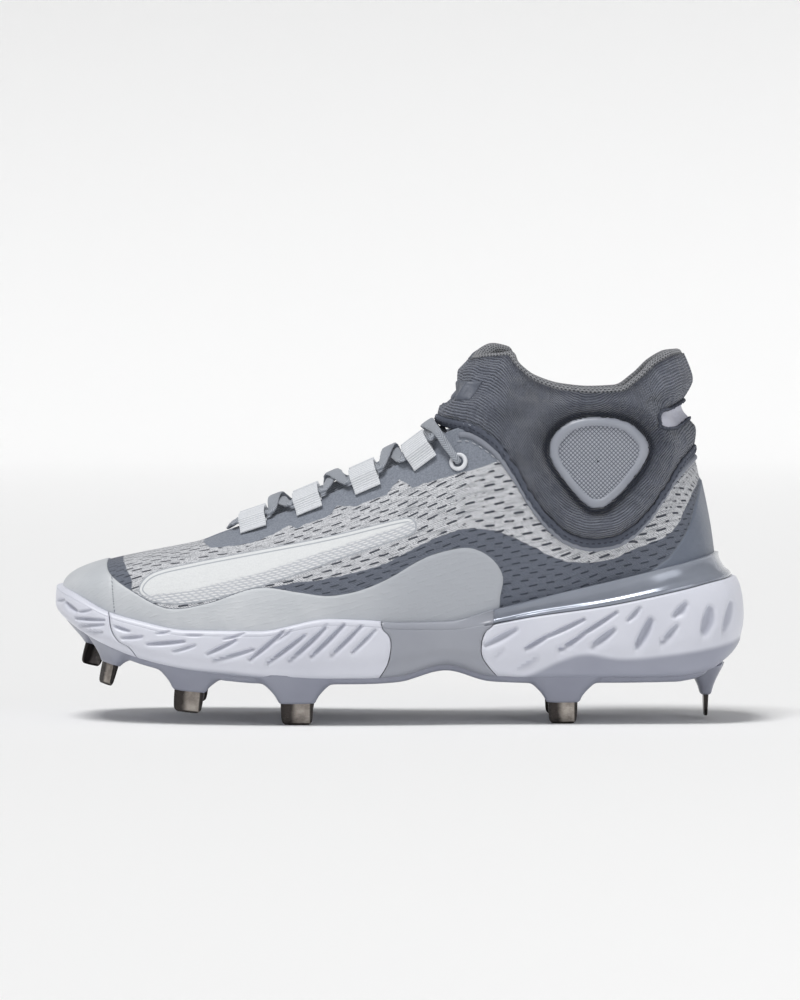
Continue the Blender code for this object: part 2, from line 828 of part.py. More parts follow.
def sole_column(position):
    # One column of the sole body, from its middle line below to its middle line above.
    turn, side, sign = signed(position)
    along = swing(turn)
    shift = MIDDLE.read("shift", along)
    wide = place(along, shift + sign * PLAN.read("sole_" + side, turn), 0)
    out = outward(position)
    under = SOLE.read("under_inset", along) * BALL_WIDTH
    lip_row, lip = lip_place(position)
    rim = float(lip[2])
    inner_gap = out * 2 * CLEARANCE
    rim_inner = lip + inner_gap
    rim_outer = rim_inner + out * LIP
    ledge = wide * (0.55, 0.55, 0) + rim_outer * (0.45, 0.45, 0)
    step = SOLE.read("step", ledge[0] / SHOE_LENGTH + 0.5) * CUFF_HEIGHT
    step = min(step, rim - 2 * CLEARANCE)
    ledge[2] = step
    base = SOLE.read("base", along) * CUFF_HEIGHT
    widest = base + (step - base) * 0.52
    points = []
    for k in range(4):
        angle = math.pi / 2 * k / 3
        point = wide - out * under * (1 - math.sin(angle))
        point[2] = base + (widest - base) * (1 - math.cos(angle))
        points.append(point)
    for k in range(1, 4):
        angle = math.pi / 2 * k / 3
        point = wide * math.cos(angle) + ledge * (1 - math.cos(angle))
        point[2] = widest + (step - widest) * math.sin(angle)
        points.append(point)
    hollow = CLIP_HOLLOW * min(max((along - 0.60) / 0.06, -0.5), 1.0)
    waist = (ledge + rim_outer) / 2 - out * hollow
    waist[2] = (step + rim) / 2
    points += [waist, rim_outer]
    for k in range(1, 6):
        lift = (points[k][2] - base) / (step - base)
        points[k] = points[k] - out * GROOVE_DEPTH * groove(along, lift, turn)
    points.append(rim_inner)
    for share in (0.67, 0.33):
        points.append(on_upper_facets(position, lip_row * share) + inner_gap)
    edge = on_upper_facets(position, 0.0) + inner_gap
    edge[2] -= CLEARANCE
    points.append(edge)
    bottom = spine(along, lambda a: SOLE.read("base", a))
    top = spine(foot_along(turn), lambda a: SOLE.read("bed", a))
    return [bottom] + points + [top]


def build_sole():
    columns = [sole_column(p) for p in sole_positions()]
    gap = CLEARANCE / 2
    wide = BALL_WIDTH
    bumper = smooth_outline(BUMPER_SEAM)
    fore = smooth_outline(FOREFOOT_SEAM)
    heel = smooth_outline(HEEL_SEAM)
    clip = smooth_outline(CLIP_LINE)
    low, high = level(0, 0)[1], level(0, 0.6)[1]
    left, right = level(-0.1, 0)[0], level(1.1, 0)[0]
    corner = np.array
    clip_start = float(np.interp(heel[2][0], *np.array(clip).T))
    blocks = {
        "toe_bumper": (
            [corner((left, high))] + shifted(bumper, -gap) + [corner((left, bumper[-1][1]))],
            "foam",
        ),
        "forefoot_foam": (
            shifted(bumper, gap)[::-1]
            + [corner((bumper[0][0] + gap, high)), corner((fore[0][0] - gap, high))]
            + shifted(fore, -gap)
            + [corner((fore[-1][0] - gap, low)), corner((bumper[-1][0] + gap, low))],
            "foam",
        ),
        "midfoot_saddle": (
            shifted(fore, gap)[::-1]
            + [corner((fore[0][0] + gap, high)), corner((heel[0][0] - gap, high))]
            + shifted(heel, -gap)
            + [corner((heel[-1][0] - gap, low)), corner((fore[-1][0] + gap, low))],
            "saddle",
        ),
        "heel_foam": (
            shifted(heel, gap)[3:][::-1]
            + [corner((heel[2][0] + gap, clip_start - gap))]
            + [p for p in lifted(clip, -gap) if p[0] > heel[2][0] + 0.002]
            + [corner((right, low)), corner((heel[-1][0] + gap, low))],
            "foam",
        ),
        "heel_clip": (
            [corner((heel[0][0] + gap, high))]
            + [corner((heel[2][0] + gap, clip_start + gap))]
            + [p for p in lifted(clip, gap) if p[0] > heel[2][0] + 0.002]
            + [corner((right, high))],
            "clip",
        ),
    }
    for name, (outline, material) in blocks.items():
        body = add_shell(name, columns, material)
        combine(body, add_prism(outline, -wide, wide), "INTERSECT")
    return columns


def build_plate(columns):
    # The outsole plate lies under the foam.
    made = []
    down = np.array((0.0, 0.0, -CLEARANCE))
    drop = np.array((0.0, 0.0, -PLATE_THICKNESS))
    for column in columns:
        middle, corner = column[0], column[1]
        reach = float(np.linalg.norm(corner - middle))
        edge = corner + (middle - corner) * PLATE_INSET / reach
        under = corner + (middle - corner) * 2.2 * PLATE_INSET / reach + drop
        made.append([middle + drop + down, under + down, edge + down, middle + down])
    return add_shell("outsole_plate", made, "plate")


def spike_frame(name):
    along, across, tip, heading, width = SPIKES[name]
    foot = place(along, across, tip)
    angle = math.radians(heading)
    run = np.array((math.cos(angle), math.sin(angle), 0.0))
    up = np.array((0.0, 0.0, 1.0))
    if tip > SPIKE_LEAN_FROM:
        # A spike under the toe spring leans with the plate.
        reach = 0.02
        fall = SOLE.read("base", along - reach) - SOLE.read("base", along + reach)
        up = unit(np.array((SPIKE_LEAN * fall * CUFF_HEIGHT / (2 * reach * SHOE_LENGTH), 0.0, 1.0)))
        run = unit(run - up * float(np.dot(up, run)))
    side = np.cross(up, run)
    return foot, run, side, up, SPIKE_WIDTH * width


def build_spike(name):
    # A steel blade with rounded lower corners, which narrows a little to its tip.
    foot, run, side, up, width = spike_frame(name)
    profile = (
        (-0.50, 1.00),
        (-0.49, 0.55),
        (-0.46, 0.18),
        (-0.38, 0.04),
        (-0.26, 0.00),
        (0.26, 0.00),
        (0.38, 0.04),
        (0.46, 0.18),
        (0.49, 0.55),
        (0.50, 1.00),
    )
    points = []
    for face in (-0.5, 0.5):
        for x, z in profile:
            taper = 0.62 + 0.38 * z
            points.append(
                foot
                + run * x * width
                + up * z * SPIKE_HEIGHT
                + side * face * SPIKE_THICKNESS * taper
            )
    count = len(profile)
    faces = [tuple(range(count)), tuple(range(2 * count - 1, count - 1, -1))]
    for k in range(count):
        n = (k + 1) % count
        faces.append((k, k + count, n + count, n))
    add_body(name, points, faces, "spike")


def plate_middle(plate_faces, point, inside):
    # The height of the middle of the plate over a point, or over the plate's edge next to it.
    for step in range(PLATE_LOOKS + 1):
        share = step / PLATE_LOOKS
        here = point * (1 - share) + inside * share
        hit, normal, _face, _way = plate_faces.ray_cast((here[0], here[1], 0.0), (0.0, 0.0, 1.0))
        if hit is not None and abs(normal[2]) > LEVEL_ENOUGH:
            return hit[2] + PLATE_THICKNESS / 2
    raise ValueError("a spike stands outside the plate")


def build_boss(name, plate_faces):
    # The moulded swelling between the plate and one spike. Its top follows the plate.
    foot, run, side, up, width = spike_frame(name)
    base = foot + up * (SPIKE_HEIGHT + CLEARANCE)
    inside = spine(foot[0] / SHOE_LENGTH + 0.5, lambda along: 0.0)
    sides = 8
    rings = [[] for _ in BOSS_STEPS]
    for j in range(sides):
        angle = 2 * math.pi * (j + 0.5) / sides
        x = math.copysign(abs(math.cos(angle)) ** 0.6, math.cos(angle))
        y = math.copysign(abs(math.sin(angle)) ** 0.6, math.sin(angle))
        for ring, (lift, grow) in zip(rings, BOSS_STEPS):
            long_half = width / 2 + BOSS_MARGIN * (0.3 + grow)
            short_half = SPIKE_THICKNESS / 2 + BOSS_MARGIN * (0.4 + grow)
            point = base + run * x * long_half + side * y * short_half
            rise = plate_middle(plate_faces, point, inside) - point[2]
            point = point + up * rise * lift
            if lift == 1.0:
                point[2] = plate_middle(plate_faces, point, inside)
            ring.append(point)
    points = [p for ring in rings for p in ring]
    last = len(rings) - 1
    faces = [tuple(range(sides)), tuple(range(len(points) - 1, last * sides - 1, -1))]
    for k in range(last):
        for j in range(sides):
            n = (j + 1) % sides
            a, b = k * sides, (k + 1) * sides
            faces.append((a + j, b + j, b + n, a + n))
    return add_body("boss", points, faces, "plate")


def build_spikes(plate):
    plate_faces = BVHTree.FromPolygons(
        [vertex.co[:] for vertex in plate.data.vertices],
        [tuple(face.vertices) for face in plate.data.polygons],
    )
    for name in SPIKES:
        build_spike(name)
        combine(plate, build_boss(name, plate_faces), "UNION")


def build_insole(positions, inner):
    # The insole lies on the sole's bed, inside the upper.
    made = []
    lift = np.array((0.0, 0.0, 2 * CLEARANCE))
    thick = np.array((0.0, 0.0, INSOLE_THICKNESS))
    for position, column in zip(positions, inner):
        along = foot_along(abs(position))
        middle = spine(along, lambda a: SOLE.read("bed", a))
        rim = column[0] * (1, 1, 0) + feather(position) * (0, 0, 1)
        reach = float(np.linalg.norm(rim - middle))
        edge = rim + (middle - rim) * 3 * CLEARANCE / reach
        made.append([middle + lift, edge + lift, edge + lift + thick, middle + lift + thick])
    add_shell("insole", made, "insole")


def arc_rows(left, crown, right, count):
    # Points on a smooth arc through three points.
    points = []
    for k in range(count + 1):
        t = k / count
        middle = 2 * crown - (left + right) / 2
        points.append((1 - t) ** 2 * left + 2 * (1 - t) * t * middle + t * t * right)
    return points


def throat_crown(turn):
    # The highest point of the tongue between the two edges of the throat.
    left, right = top_line(-turn), top_line(turn)
    middle = (left + right) / 2
    fade = min(max((turn - 0.17) / 0.16, 0.0), 1.0)
    middle[2] += TONGUE_CROWN * fade - 2 * UPPER_WALL * (1 - fade)
    return middle


def build_tongue(positions, outer, normal):
    # The tongue fills the throat and goes under the upper's edge all round it.
    under = UPPER_WALL + 4 * CLEARANCE
    low = outer - normal * under
    top = UPPER_ROWS
    parts = 6

    def below(step, row):
        # A place under the upper: step counts its columns from the toe, row its rows.
        c = step + UPPER_STEPS
        k, r = int(math.floor(c)), int(math.floor(row))
        u, v = c - k, row - r
        q = min(r + 1, top)
        first = low[k, r] * (1 - u) + low[k + 1, r] * u
        second = low[k, q] * (1 - u) + low[k + 1, q] * u
        return first * (1 - v) + second * v

    rows = []
    for half, flank, ring in ((2.9, 1.7, 1.0), (3.6, 1.3, 0.5)):
        steps = [half * (2 * k / parts - 1) for k in range(parts + 1)]
        row = [below(-half - 0.5, top - flank)] + [below(step, top - ring) for step in steps]
        row.append(below(half + 0.5, top - flank))
        rows.append([point - (0.0, 0.0, TIP_DROP) for point in row])
    for step in range(5, THROAT_STEP + 1):
        crown = throat_crown(step / UPPER_STEPS)
        arc = arc_rows(below(-step, top), crown, below(step, top), parts)
        rows.append([below(-step, top - 1)] + arc + [below(step, top - 1)])
    grid = np.array(rows)
    out = grid_normals(grid, closed=False)
    if out[5, 4, 2] < 0:
        out = -out
    add_slab("tongue", grid, grid - out * TONGUE_WALL, "tongue")


def edge_frame(position, row=1.0):
    # A point of the upper with its run to the heel, the way inwards and the normal.
    step = 0.004
    point = upper_point(position, row)
    turn, _side, sign = signed(position)
    after = upper_point(sign * (turn + step), row)
    before = upper_point(sign * (turn - step), row)
    run = unit(after - before)
    inward = unit(point - upper_point(position, row - 0.03))
    inward = unit(inward - run * float(np.dot(run, inward)))
    normal = unit(np.cross(run, inward)) * (1 if sign > 0 else -1)
    if normal[2] < 0:
        normal = -normal
    return point, run, inward, normal


def build_loop(name, position):
    # A webbing strap folded round the lace and held to the upper on both of its ends.
    point, run, inward, normal = edge_frame(position)
    strap = LOOP_STRAP
    low = 2 * CLEARANCE
    bend = LACE_THICKNESS / 2 + 2.5 * CLEARANCE
    middle = low + strap + bend
    reach = LACE_WIDTH * 0.55
    back = LOOP_LENGTH
    outer, inner = [], []
    for k in range(6):
        angle = -math.pi / 2 + math.pi * k / 5
        c, s = math.cos(angle), math.sin(angle)
        outer.append((reach + (bend + strap) * c, middle + (bend + strap) * s))
        inner.append((reach + bend * c, middle + bend * s))
    # Round the outside from the lower end to the upper end, and back along the inside.
    section = [(-back * 0.45, low)] + outer
    section += [(-back * 0.45, middle + bend + strap * 0.8), (-back, low + strap * 1.4)]
    section += [(-back, low + 0.2 * strap), (-back * 0.62, low + strap * 1.1)]
    section += [(-back * 0.40, middle + bend * 0.8)]
    section += inner[::-1]
    section += [(-back * 0.45 + strap, low + strap)]
    points = []
    for half in (-0.5, 0.5):
        for x, z in section:
            points.append(point + run * half * LOOP_WIDTH + inward * x + normal * z)
    count = len(section)
    faces = [tuple(range(count)), tuple(range(2 * count - 1, count - 1, -1))]
    for k in range(count):
        n = (k + 1) % count
        faces.append((k, k + count, n + count, n))
    add_body(name, points, faces, "loop")


def build_eyelet(name, position):
    point, run, inward, normal = edge_frame(position, EYELET_ROW)
    base = point + normal * 2 * CLEARANCE
    sections = []
    for k in range(12):
        angle = 2 * math.pi * k / 12
        ray = run * math.cos(angle) + inward * math.sin(angle)
        sections.append(
            [
                base + ray * EYELET_RADIUS,
                base + ray * EYELET_RADIUS * 0.92 + normal * EYELET_THICKNESS,
                base + ray * EYELET_HOLE * 1.1 + normal * EYELET_THICKNESS,
                base + ray * EYELET_HOLE,
            ]
        )
    add_ring(name, sections, "loop")


def lace_points():
    # The lace's run through the loops from one top eyelet to the other: place, normal and
    # width share.
    rise = LOOP_STRAP + LACE_THICKNESS / 2 + 4.5 * CLEARANCE
    half = LOOP_WIDTH / 2 + LACE_WIDTH * 0.45
    last = len(LOOP_TURNS)

    def through(sign, k, way):
        point, run, inward, normal = edge_frame(sign * LOOP_TURNS[k])
        centre = point + inward * LACE_WIDTH * 0.12 + normal * rise
        shares = (-1.0, -0.56, 0.56, 1.0)
        return [(centre + run * half * way * share, normal, 0.58) for share in shares]

    def over(turn, level_up):
        crown = throat_crown(turn)
        nearby = throat_crown(turn + 0.01)
        run = unit(nearby - crown)
        normal = unit(np.cross(run, np.array((0.0, -1.0, 0.0))))
        normal = normal if normal[2] > 0 else -normal
        lift = LACE_THICKNESS * (0.5 + level_up) + CLEARANCE * (5 + 3 * level_up)
        return crown + normal * lift, normal, 1.0

    def at_eyelet(sign):
        # Over the throat's edge and down to the ring.
        edge, _run, _inward, lean = edge_frame(sign * (EYELET_TURN - 0.012))
        point, _run, _inward, normal = edge_frame(sign * EYELET_TURN, EYELET_ROW)
        rise_over = EYELET_THICKNESS + LACE_THICKNESS / 2 + 4 * CLEARANCE
        start = edge + lean * (rise_over + 2 * CLEARANCE)
        middle = (edge + point) / 2 + (lean + normal) / 2 * (rise_over + 2 * CLEARANCE)
        end = point + normal * rise_over
        return [(start, lean, 0.55), (middle, normal, 0.55), (end, normal, 0.5)]

    route = []
    sign = 1
    # Down from the inner eyelet, each stretch under the one that comes back up.
    for k in range(last - 1, -1, -1):
        sign = -sign
        above = TOP_CROSSING if k == last - 1 else (LOOP_TURNS[k] + LOOP_TURNS[k + 1]) / 2
        route.append(("over", above, 0))
        route.append(("loop", sign, k, -1))
    route.append(("over", LOOP_TURNS[0] - 0.05, 0))
    for k in range(last):
        sign = -sign
        route.append(("loop", sign, k, 1))
        above = TOP_CROSSING if k == last - 1 else (LOOP_TURNS[k] + LOOP_TURNS[k + 1]) / 2
        route.append(("over", above, 1))
    points = at_eyelet(1)[::-1]
    for step in route:
        if step[0] == "over":
            points.append(over(step[1], step[2]))
        else:
            points.extend(through(step[1], step[2], step[3]))
    points.extend(at_eyelet(-1))
    return points


def build_lace():
    controls = lace_points()
    places = [c[0] for c in controls]
    normals = [c[1] for c in controls]
    widths = [c[2] for c in controls]
    sections = []
    parts = 2
    count = len(controls)
    centres, ups, shares = [], [], []
    for k in range(count - 1):
        before, here = places[max(k - 1, 0)], places[k]
        there, after = places[k + 1], places[min(k + 2, count - 1)]
        for j in range(parts):
            t = j / parts
            centres.append(
                0.5
                * (
                    2 * here
                    + (there - before) * t
                    + (2 * before - 5 * here + 4 * there - after) * t * t
                    + (3 * here - before - 3 * there + after) * t * t * t
                )
            )
            ups.append(unit(normals[k] * (1 - t) + normals[k + 1] * t))
            shares.append(widths[k] * (1 - t) + widths[k + 1] * t)
    centres.append(places[-1])
    ups.append(normals[-1])
    shares.append(widths[-1])
    for k, centre in enumerate(centres):
        way = unit(centres[min(k + 1, len(centres) - 1)] - centres[max(k - 1, 0)])
        side = unit(np.cross(way, ups[k]))
        up = unit(np.cross(side, way))
        half = LACE_WIDTH * shares[k] / 2
        thick = LACE_THICKNESS / 2
        sections.append(
            [
                centre - side * half - up * thick,
                centre + side * half - up * thick,
                centre + side * half + up * thick,
                centre - side * half + up * thick,
            ]
        )
    rows = 4
    points = [p for section in sections for p in section]
    faces = [tuple(range(rows)), tuple(range(len(points) - 1, len(points) - 1 - rows, -1))]
    for k in range(len(sections) - 1):
        for r in range(rows):
            q = (r + 1) % rows
            faces.append((k * rows + r, (k + 1) * rows + r, (k + 1) * rows + q, k * rows + q))
    add_body("lace", points, faces, "lace")


def recentre():
    # Moves the whole shoe so that the middle of its footprint is at x = 0, y = 0.
    corners = []
    for body in bpy.data.objects:
        corners += [vertex.co for vertex in body.data.vertices]
    corners = np.array([tuple(c) for c in corners])
    middle = (corners.min(axis=0) + corners.max(axis=0)) / 2
    for body in bpy.data.objects:
        for vertex in body.data.vertices:
            vertex.co.x -= middle[0]
            vertex.co.y -= middle[1]


def main():
    for old in list(bpy.data.objects):
        bpy.data.objects.remove(old)
    positions, outer, normal, inner = build_upper()
    columns = build_sole()
    plate = build_plate(columns)
    build_spikes(plate)
    build_insole(positions, inner)
    build_tongue(positions, outer, normal)
    puffed, cuff_normal, cuff_inner = build_cuff()
    build_binding(puffed, cuff_inner)

    steps = UPPER_STEPS
    film_reach = int(0.66 * steps)
    toe = slice(steps - film_reach, steps + film_reach + 1)
    edge = smooth_outline(TOE_OVERLAY_EDGE)
    outline = [level(-0.04, 0.52), level(TOE_OVERLAY_EDGE[0][0], 0.52)] + edge
    outline += rim_outline(0.640, 0.0) + [level(-0.04, SOLE.read("rim", 0.0))]
    build_film("toe_overlay", outer, normal, toe, outline, "toe_overlay")
    heel_reach = int(0.20 * steps)
    around = list(range(2 * steps - heel_reach - 1, 2 * steps)) + list(range(0, heel_reach + 2))
    edge = smooth_outline(COUNTER_EDGE)
    outline = edge + [level(1.05, COUNTER_EDGE[-1][1]), level(1.05, SOLE.read("rim", 1.0))]
    outline += rim_outline(0.99, 0.880)
    build_film("heel_counter", outer, normal, around, outline, "heel_counter")

    wide = BALL_WIDTH
    face = (puffed, cuff_normal)
    disc = closed_outline(ANKLE_DISC)
    sizes = (DISC_GAP, DISC_THICKNESS)
    build_on_cuff("ankle_disc_out", *face, disc, *sizes, -wide, 0, "disc")
    build_on_cuff("ankle_disc_in", *face, disc, *sizes, 0, wide, "disc")
    patch = [level(*p) for p in HEEL_PATCH]
    sizes = (PATCH_GAP, PATCH_THICKNESS)
    build_on_cuff("heel_patch", *face, patch, *sizes, -wide, wide, "patch")
    label = [level(*p) for p in FRONT_LABEL]
    build_on_cuff("front_label", *face, label, *sizes, -LABEL_HALF, LABEL_HALF, "patch")
    for k, turn in enumerate(LOOP_TURNS, 1):
        build_loop(f"lace_loop_out_{k}", -turn)
        build_loop(f"lace_loop_in_{k}", turn)
    build_eyelet("eyelet_out", -EYELET_TURN)
    build_eyelet("eyelet_in", EYELET_TURN)
    build_lace()
    recentre()


main()
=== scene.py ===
import math

import bmesh
import bpy
import numpy as np
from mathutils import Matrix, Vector
from mathutils.bvhtree import BVHTree


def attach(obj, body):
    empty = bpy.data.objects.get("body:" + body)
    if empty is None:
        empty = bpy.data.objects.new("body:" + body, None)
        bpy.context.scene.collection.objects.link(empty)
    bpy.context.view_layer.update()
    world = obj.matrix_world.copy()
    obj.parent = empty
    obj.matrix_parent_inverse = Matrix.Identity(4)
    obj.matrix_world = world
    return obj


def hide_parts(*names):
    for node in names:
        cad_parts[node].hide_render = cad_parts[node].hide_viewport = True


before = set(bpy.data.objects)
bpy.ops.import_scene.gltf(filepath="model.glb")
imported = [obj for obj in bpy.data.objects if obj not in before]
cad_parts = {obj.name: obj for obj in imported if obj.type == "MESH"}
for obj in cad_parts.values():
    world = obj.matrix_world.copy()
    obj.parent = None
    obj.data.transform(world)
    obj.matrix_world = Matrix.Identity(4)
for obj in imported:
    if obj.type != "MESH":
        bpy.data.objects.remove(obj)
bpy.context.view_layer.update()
scene = bpy.context.scene

# the shoe's own sizes in metres; toe at -X, outer side at -Y, floor at z = 0
shoe = {"length": 0.300, "ballWidth": 0.106, "cuffHeight": 0.1635, "sideShift": 0.002865, "gap": 0.0003}


# camera, as the photo: level, square on the outer side
camera = {"lens": 200, "sensor": 36, "span": 0.436, "aim": (0.0004, 0.0, 0.0951), "elevation": 2.0}
eye = bpy.data.cameras.new("photoCamera")
eye.lens, eye.sensor_width = camera["lens"], camera["sensor"]
eyeObject = bpy.data.objects.new("photoCamera", eye)
scene.collection.objects.link(eyeObject)
scene.camera = eyeObject
reach = camera["span"] * camera["lens"] / camera["sensor"]
lift = math.radians(camera["elevation"])
eyeObject.location = (
    camera["aim"][0],
    camera["aim"][1] - reach * math.cos(lift),
    camera["aim"][2] + reach * math.sin(lift),
)
eyeObject.rotation_euler = (math.pi / 2 - lift, 0, 0)
eye.clip_start, eye.clip_end = 0.05, 30


# plain pale floor that rises to a wall all round, and soft studio light
studio = {
    "flat": 4.0, "cove": 1.2, "wall": 2.2,
    "sun": 2.08, "sunAngle": 20, "side": 2.8, "sky": 0.27, "wallShade": 0.905, "sides": 96,
}
pale = bpy.data.materials.new("paleFloor")
pale.use_nodes = True
paleShader = pale.node_tree.nodes["Principled BSDF"]
paleShader.inputs["Roughness"].default_value = 0.9
paleShader.inputs["Specular IOR Level"].default_value = 0.1
speck = pale.node_tree.nodes.new("ShaderNodeTexNoise")
speck.inputs["Scale"].default_value = 3.0
tint = pale.node_tree.nodes.new("ShaderNodeMix")
tint.data_type = "RGBA"
tint.inputs[6].default_value, tint.inputs[7].default_value = (0.90, 0.90, 0.90, 1), (0.92, 0.92, 0.92, 1)
pale.node_tree.links.new(speck.outputs[0], tint.inputs[0])
# the wall is a little darker than the floor, so that both look alike
height = pale.node_tree.nodes.new("ShaderNodeSeparateXYZ")
spot = pale.node_tree.nodes.new("ShaderNodeTexCoord")
rising = pale.node_tree.nodes.new("ShaderNodeMapRange")
rising.inputs["From Min"].default_value, rising.inputs["From Max"].default_value = 0.0, 0.5
rising.inputs["To Min"].default_value, rising.inputs["To Max"].default_value = 1.0, studio["wallShade"] / 0.91
pale.node_tree.links.new(spot.outputs["Object"], height.inputs[0])
pale.node_tree.links.new(height.outputs[2], rising.inputs["Value"])
shaded = pale.node_tree.nodes.new("ShaderNodeMix")
shaded.data_type, shaded.blend_type = "RGBA", "MULTIPLY"
shaded.inputs[0].default_value = 1.0
pale.node_tree.links.new(tint.outputs[2], shaded.inputs[6])
pale.node_tree.links.new(rising.outputs[0], shaded.inputs[7])
pale.node_tree.links.new(shaded.outputs[2], paleShader.inputs["Base Color"])
profile = [(0.6, 0.0), (2.0, 0.0), (studio["flat"], 0.0)]
for angle in np.linspace(0, math.pi / 2, 17)[1:]:
    run, climb = studio["cove"] * math.sin(angle), studio["cove"] * (1 - math.cos(angle))
    profile.append((studio["flat"] + run, climb))
profile.append((studio["flat"] + studio["cove"], studio["wall"]))
sides = studio["sides"]
around = np.arange(sides) / sides * 2 * math.pi
points = [(0.0, 0.0, 0.0)] + [(r * math.cos(a), r * math.sin(a), z) for r, z in profile for a in around]
faces = [(0, 1 + k, 1 + (k + 1) % sides) for k in range(sides)]
for ring in range(len(profile) - 1):
    low, high = 1 + ring * sides, 1 + (ring + 1) * sides
    faces += [(low + k, high + k, high + (k + 1) % sides, low + (k + 1) % sides) for k in range(sides)]
floorMesh = bpy.data.meshes.new("floor")
floorMesh.from_pydata(points, [], faces)
floorMesh.shade_smooth()
floorMesh.materials.append(pale)
floor = bpy.data.objects.new("floor", floorMesh)
scene.collection.objects.link(floor)
world = bpy.data.worlds.new("studioSky")
world.use_nodes = True
world.node_tree.nodes["Background"].inputs["Color"].default_value = (1.0, 1.0, 1.0, 1)
world.node_tree.nodes["Background"].inputs["Strength"].default_value = studio["sky"]
scene.world = world
scene.view_settings.view_transform = "Standard"


def softLight(name, place, aim, size, power):
    lamp = bpy.data.lights.new(name, "AREA")
    lamp.shape, lamp.size, lamp.size_y, lamp.energy = "RECTANGLE", size[0], size[1], power
    body = bpy.data.objects.new(name, lamp)
    scene.collection.objects.link(body)
    body.location = place
    body.rotation_euler = (Vector(aim) - Vector(place)).to_track_quat("-Z", "Y").to_euler()


sun = bpy.data.lights.new("softSun", "SUN")
sun.energy, sun.angle = studio["sun"], math.radians(studio["sunAngle"])
sunObject = bpy.data.objects.new("softSun", sun)
scene.collection.objects.link(sunObject)
sunObject.rotation_euler = Vector((0.30, 0.30, -1.25)).to_track_quat("-Z", "Y").to_euler()
softLight("sideLight", (0.9, -1.3, 0.6), (0.05, 0, 0.07), (0.5, 0.9), studio["side"])


# tables of the shoe's form
def curveTable(names, *rows):
    # columns by name, read between rows by a curve that never overshoots
    data = np.array(rows, float)
    keys, columns = data[:, 0], names.split()
    step = np.diff(keys)[:, None]
    rise = np.diff(data, axis=0) / step
    slope = np.zeros_like(data)
    slope[0], slope[-1] = rise[0], rise[-1]
    a, b = 2 * step[1:] + step[:-1], step[1:] + 2 * step[:-1]
    same = rise[:-1] * rise[1:] > 0
    mean = (a + b) / (a / np.where(same, rise[:-1], 1) + b / np.where(same, rise[1:], 1))
    slope[1:-1] = np.where(same, mean, 0)

    def read(name, key):
        key = np.clip(np.asarray(key, float), keys[0], keys[-1])
        k = np.clip(np.searchsorted(keys, key, side="right") - 1, 0, len(keys) - 2)
        c = columns.index(name)
        h = keys[k + 1] - keys[k]
        t = (key - keys[k]) / h
        t2, t3 = t * t, t * t * t
        return (
            (2 * t3 - 3 * t2 + 1) * data[k, c]
            + (t3 - 2 * t2 + t) * slope[k, c] * h
            + (3 * t2 - 2 * t3) * data[k + 1, c]
            + (t3 - t2) * slope[k + 1, c] * h
        )

    return read


plan = curveTable(
    "turn footOut footIn soleOut soleIn",
    (0.00, 0.000, 0.000, 0.000, 0.000),
    (0.05, 0.140, 0.142, 0.160, 0.162),
    (0.10, 0.245, 0.250, 0.285, 0.288),
    (0.15, 0.320, 0.325, 0.370, 0.372),
    (0.20, 0.378, 0.378, 0.430, 0.430),
    (0.25, 0.418, 0.412, 0.472, 0.466),
    (0.30, 0.442, 0.432, 0.496, 0.486),
    (0.35, 0.452, 0.436, 0.506, 0.490),
    (0.40, 0.446, 0.422, 0.500, 0.476),
    (0.45, 0.424, 0.392, 0.476, 0.444),
    (0.50, 0.392, 0.352, 0.440, 0.404),
    (0.55, 0.360, 0.322, 0.406, 0.374),
    (0.60, 0.338, 0.310, 0.388, 0.362),
    (0.70, 0.326, 0.318, 0.390, 0.384),
    (0.80, 0.308, 0.306, 0.384, 0.382),
    (0.85, 0.280, 0.280, 0.358, 0.358),
    (0.90, 0.226, 0.226, 0.300, 0.300),
    (0.95, 0.130, 0.130, 0.176, 0.176),
    (1.00, 0.000, 0.000, 0.000, 0.000),
)
middle = curveTable(
    "along shift",
    (0.00, 0.085),
    (0.10, 0.078),
    (0.20, 0.055),
    (0.35, 0.010),
    (0.50, -0.025),
    (0.65, -0.030),
    (0.80, -0.012),
    (1.00, 0.000),
)
sole = curveTable(
    "along rim step base bed underInset",
    (0.000, 0.364, 0.350, 0.265, 0.312, 0.110),
    (0.035, 0.340, 0.322, 0.228, 0.290, 0.100),
    (0.085, 0.294, 0.280, 0.192, 0.255, 0.085),
    (0.120, 0.276, 0.262, 0.172, 0.235, 0.078),
    (0.200, 0.249, 0.236, 0.144, 0.202, 0.066),
    (0.300, 0.248, 0.236, 0.126, 0.182, 0.062),
    (0.400, 0.280, 0.264, 0.124, 0.184, 0.062),
    (0.450, 0.277, 0.262, 0.124, 0.192, 0.066),
    (0.500, 0.270, 0.254, 0.128, 0.200, 0.075),
    (0.570, 0.272, 0.252, 0.158, 0.212, 0.085),
    (0.635, 0.303, 0.268, 0.128, 0.224, 0.078),
    (0.700, 0.333, 0.289, 0.124, 0.230, 0.070),
    (0.800, 0.376, 0.314, 0.124, 0.235, 0.070),
    (0.900, 0.420, 0.352, 0.126, 0.240, 0.080),
    (0.960, 0.446, 0.377, 0.140, 0.242, 0.095),
    (1.000, 0.450, 0.391, 0.165, 0.244, 0.110),
)
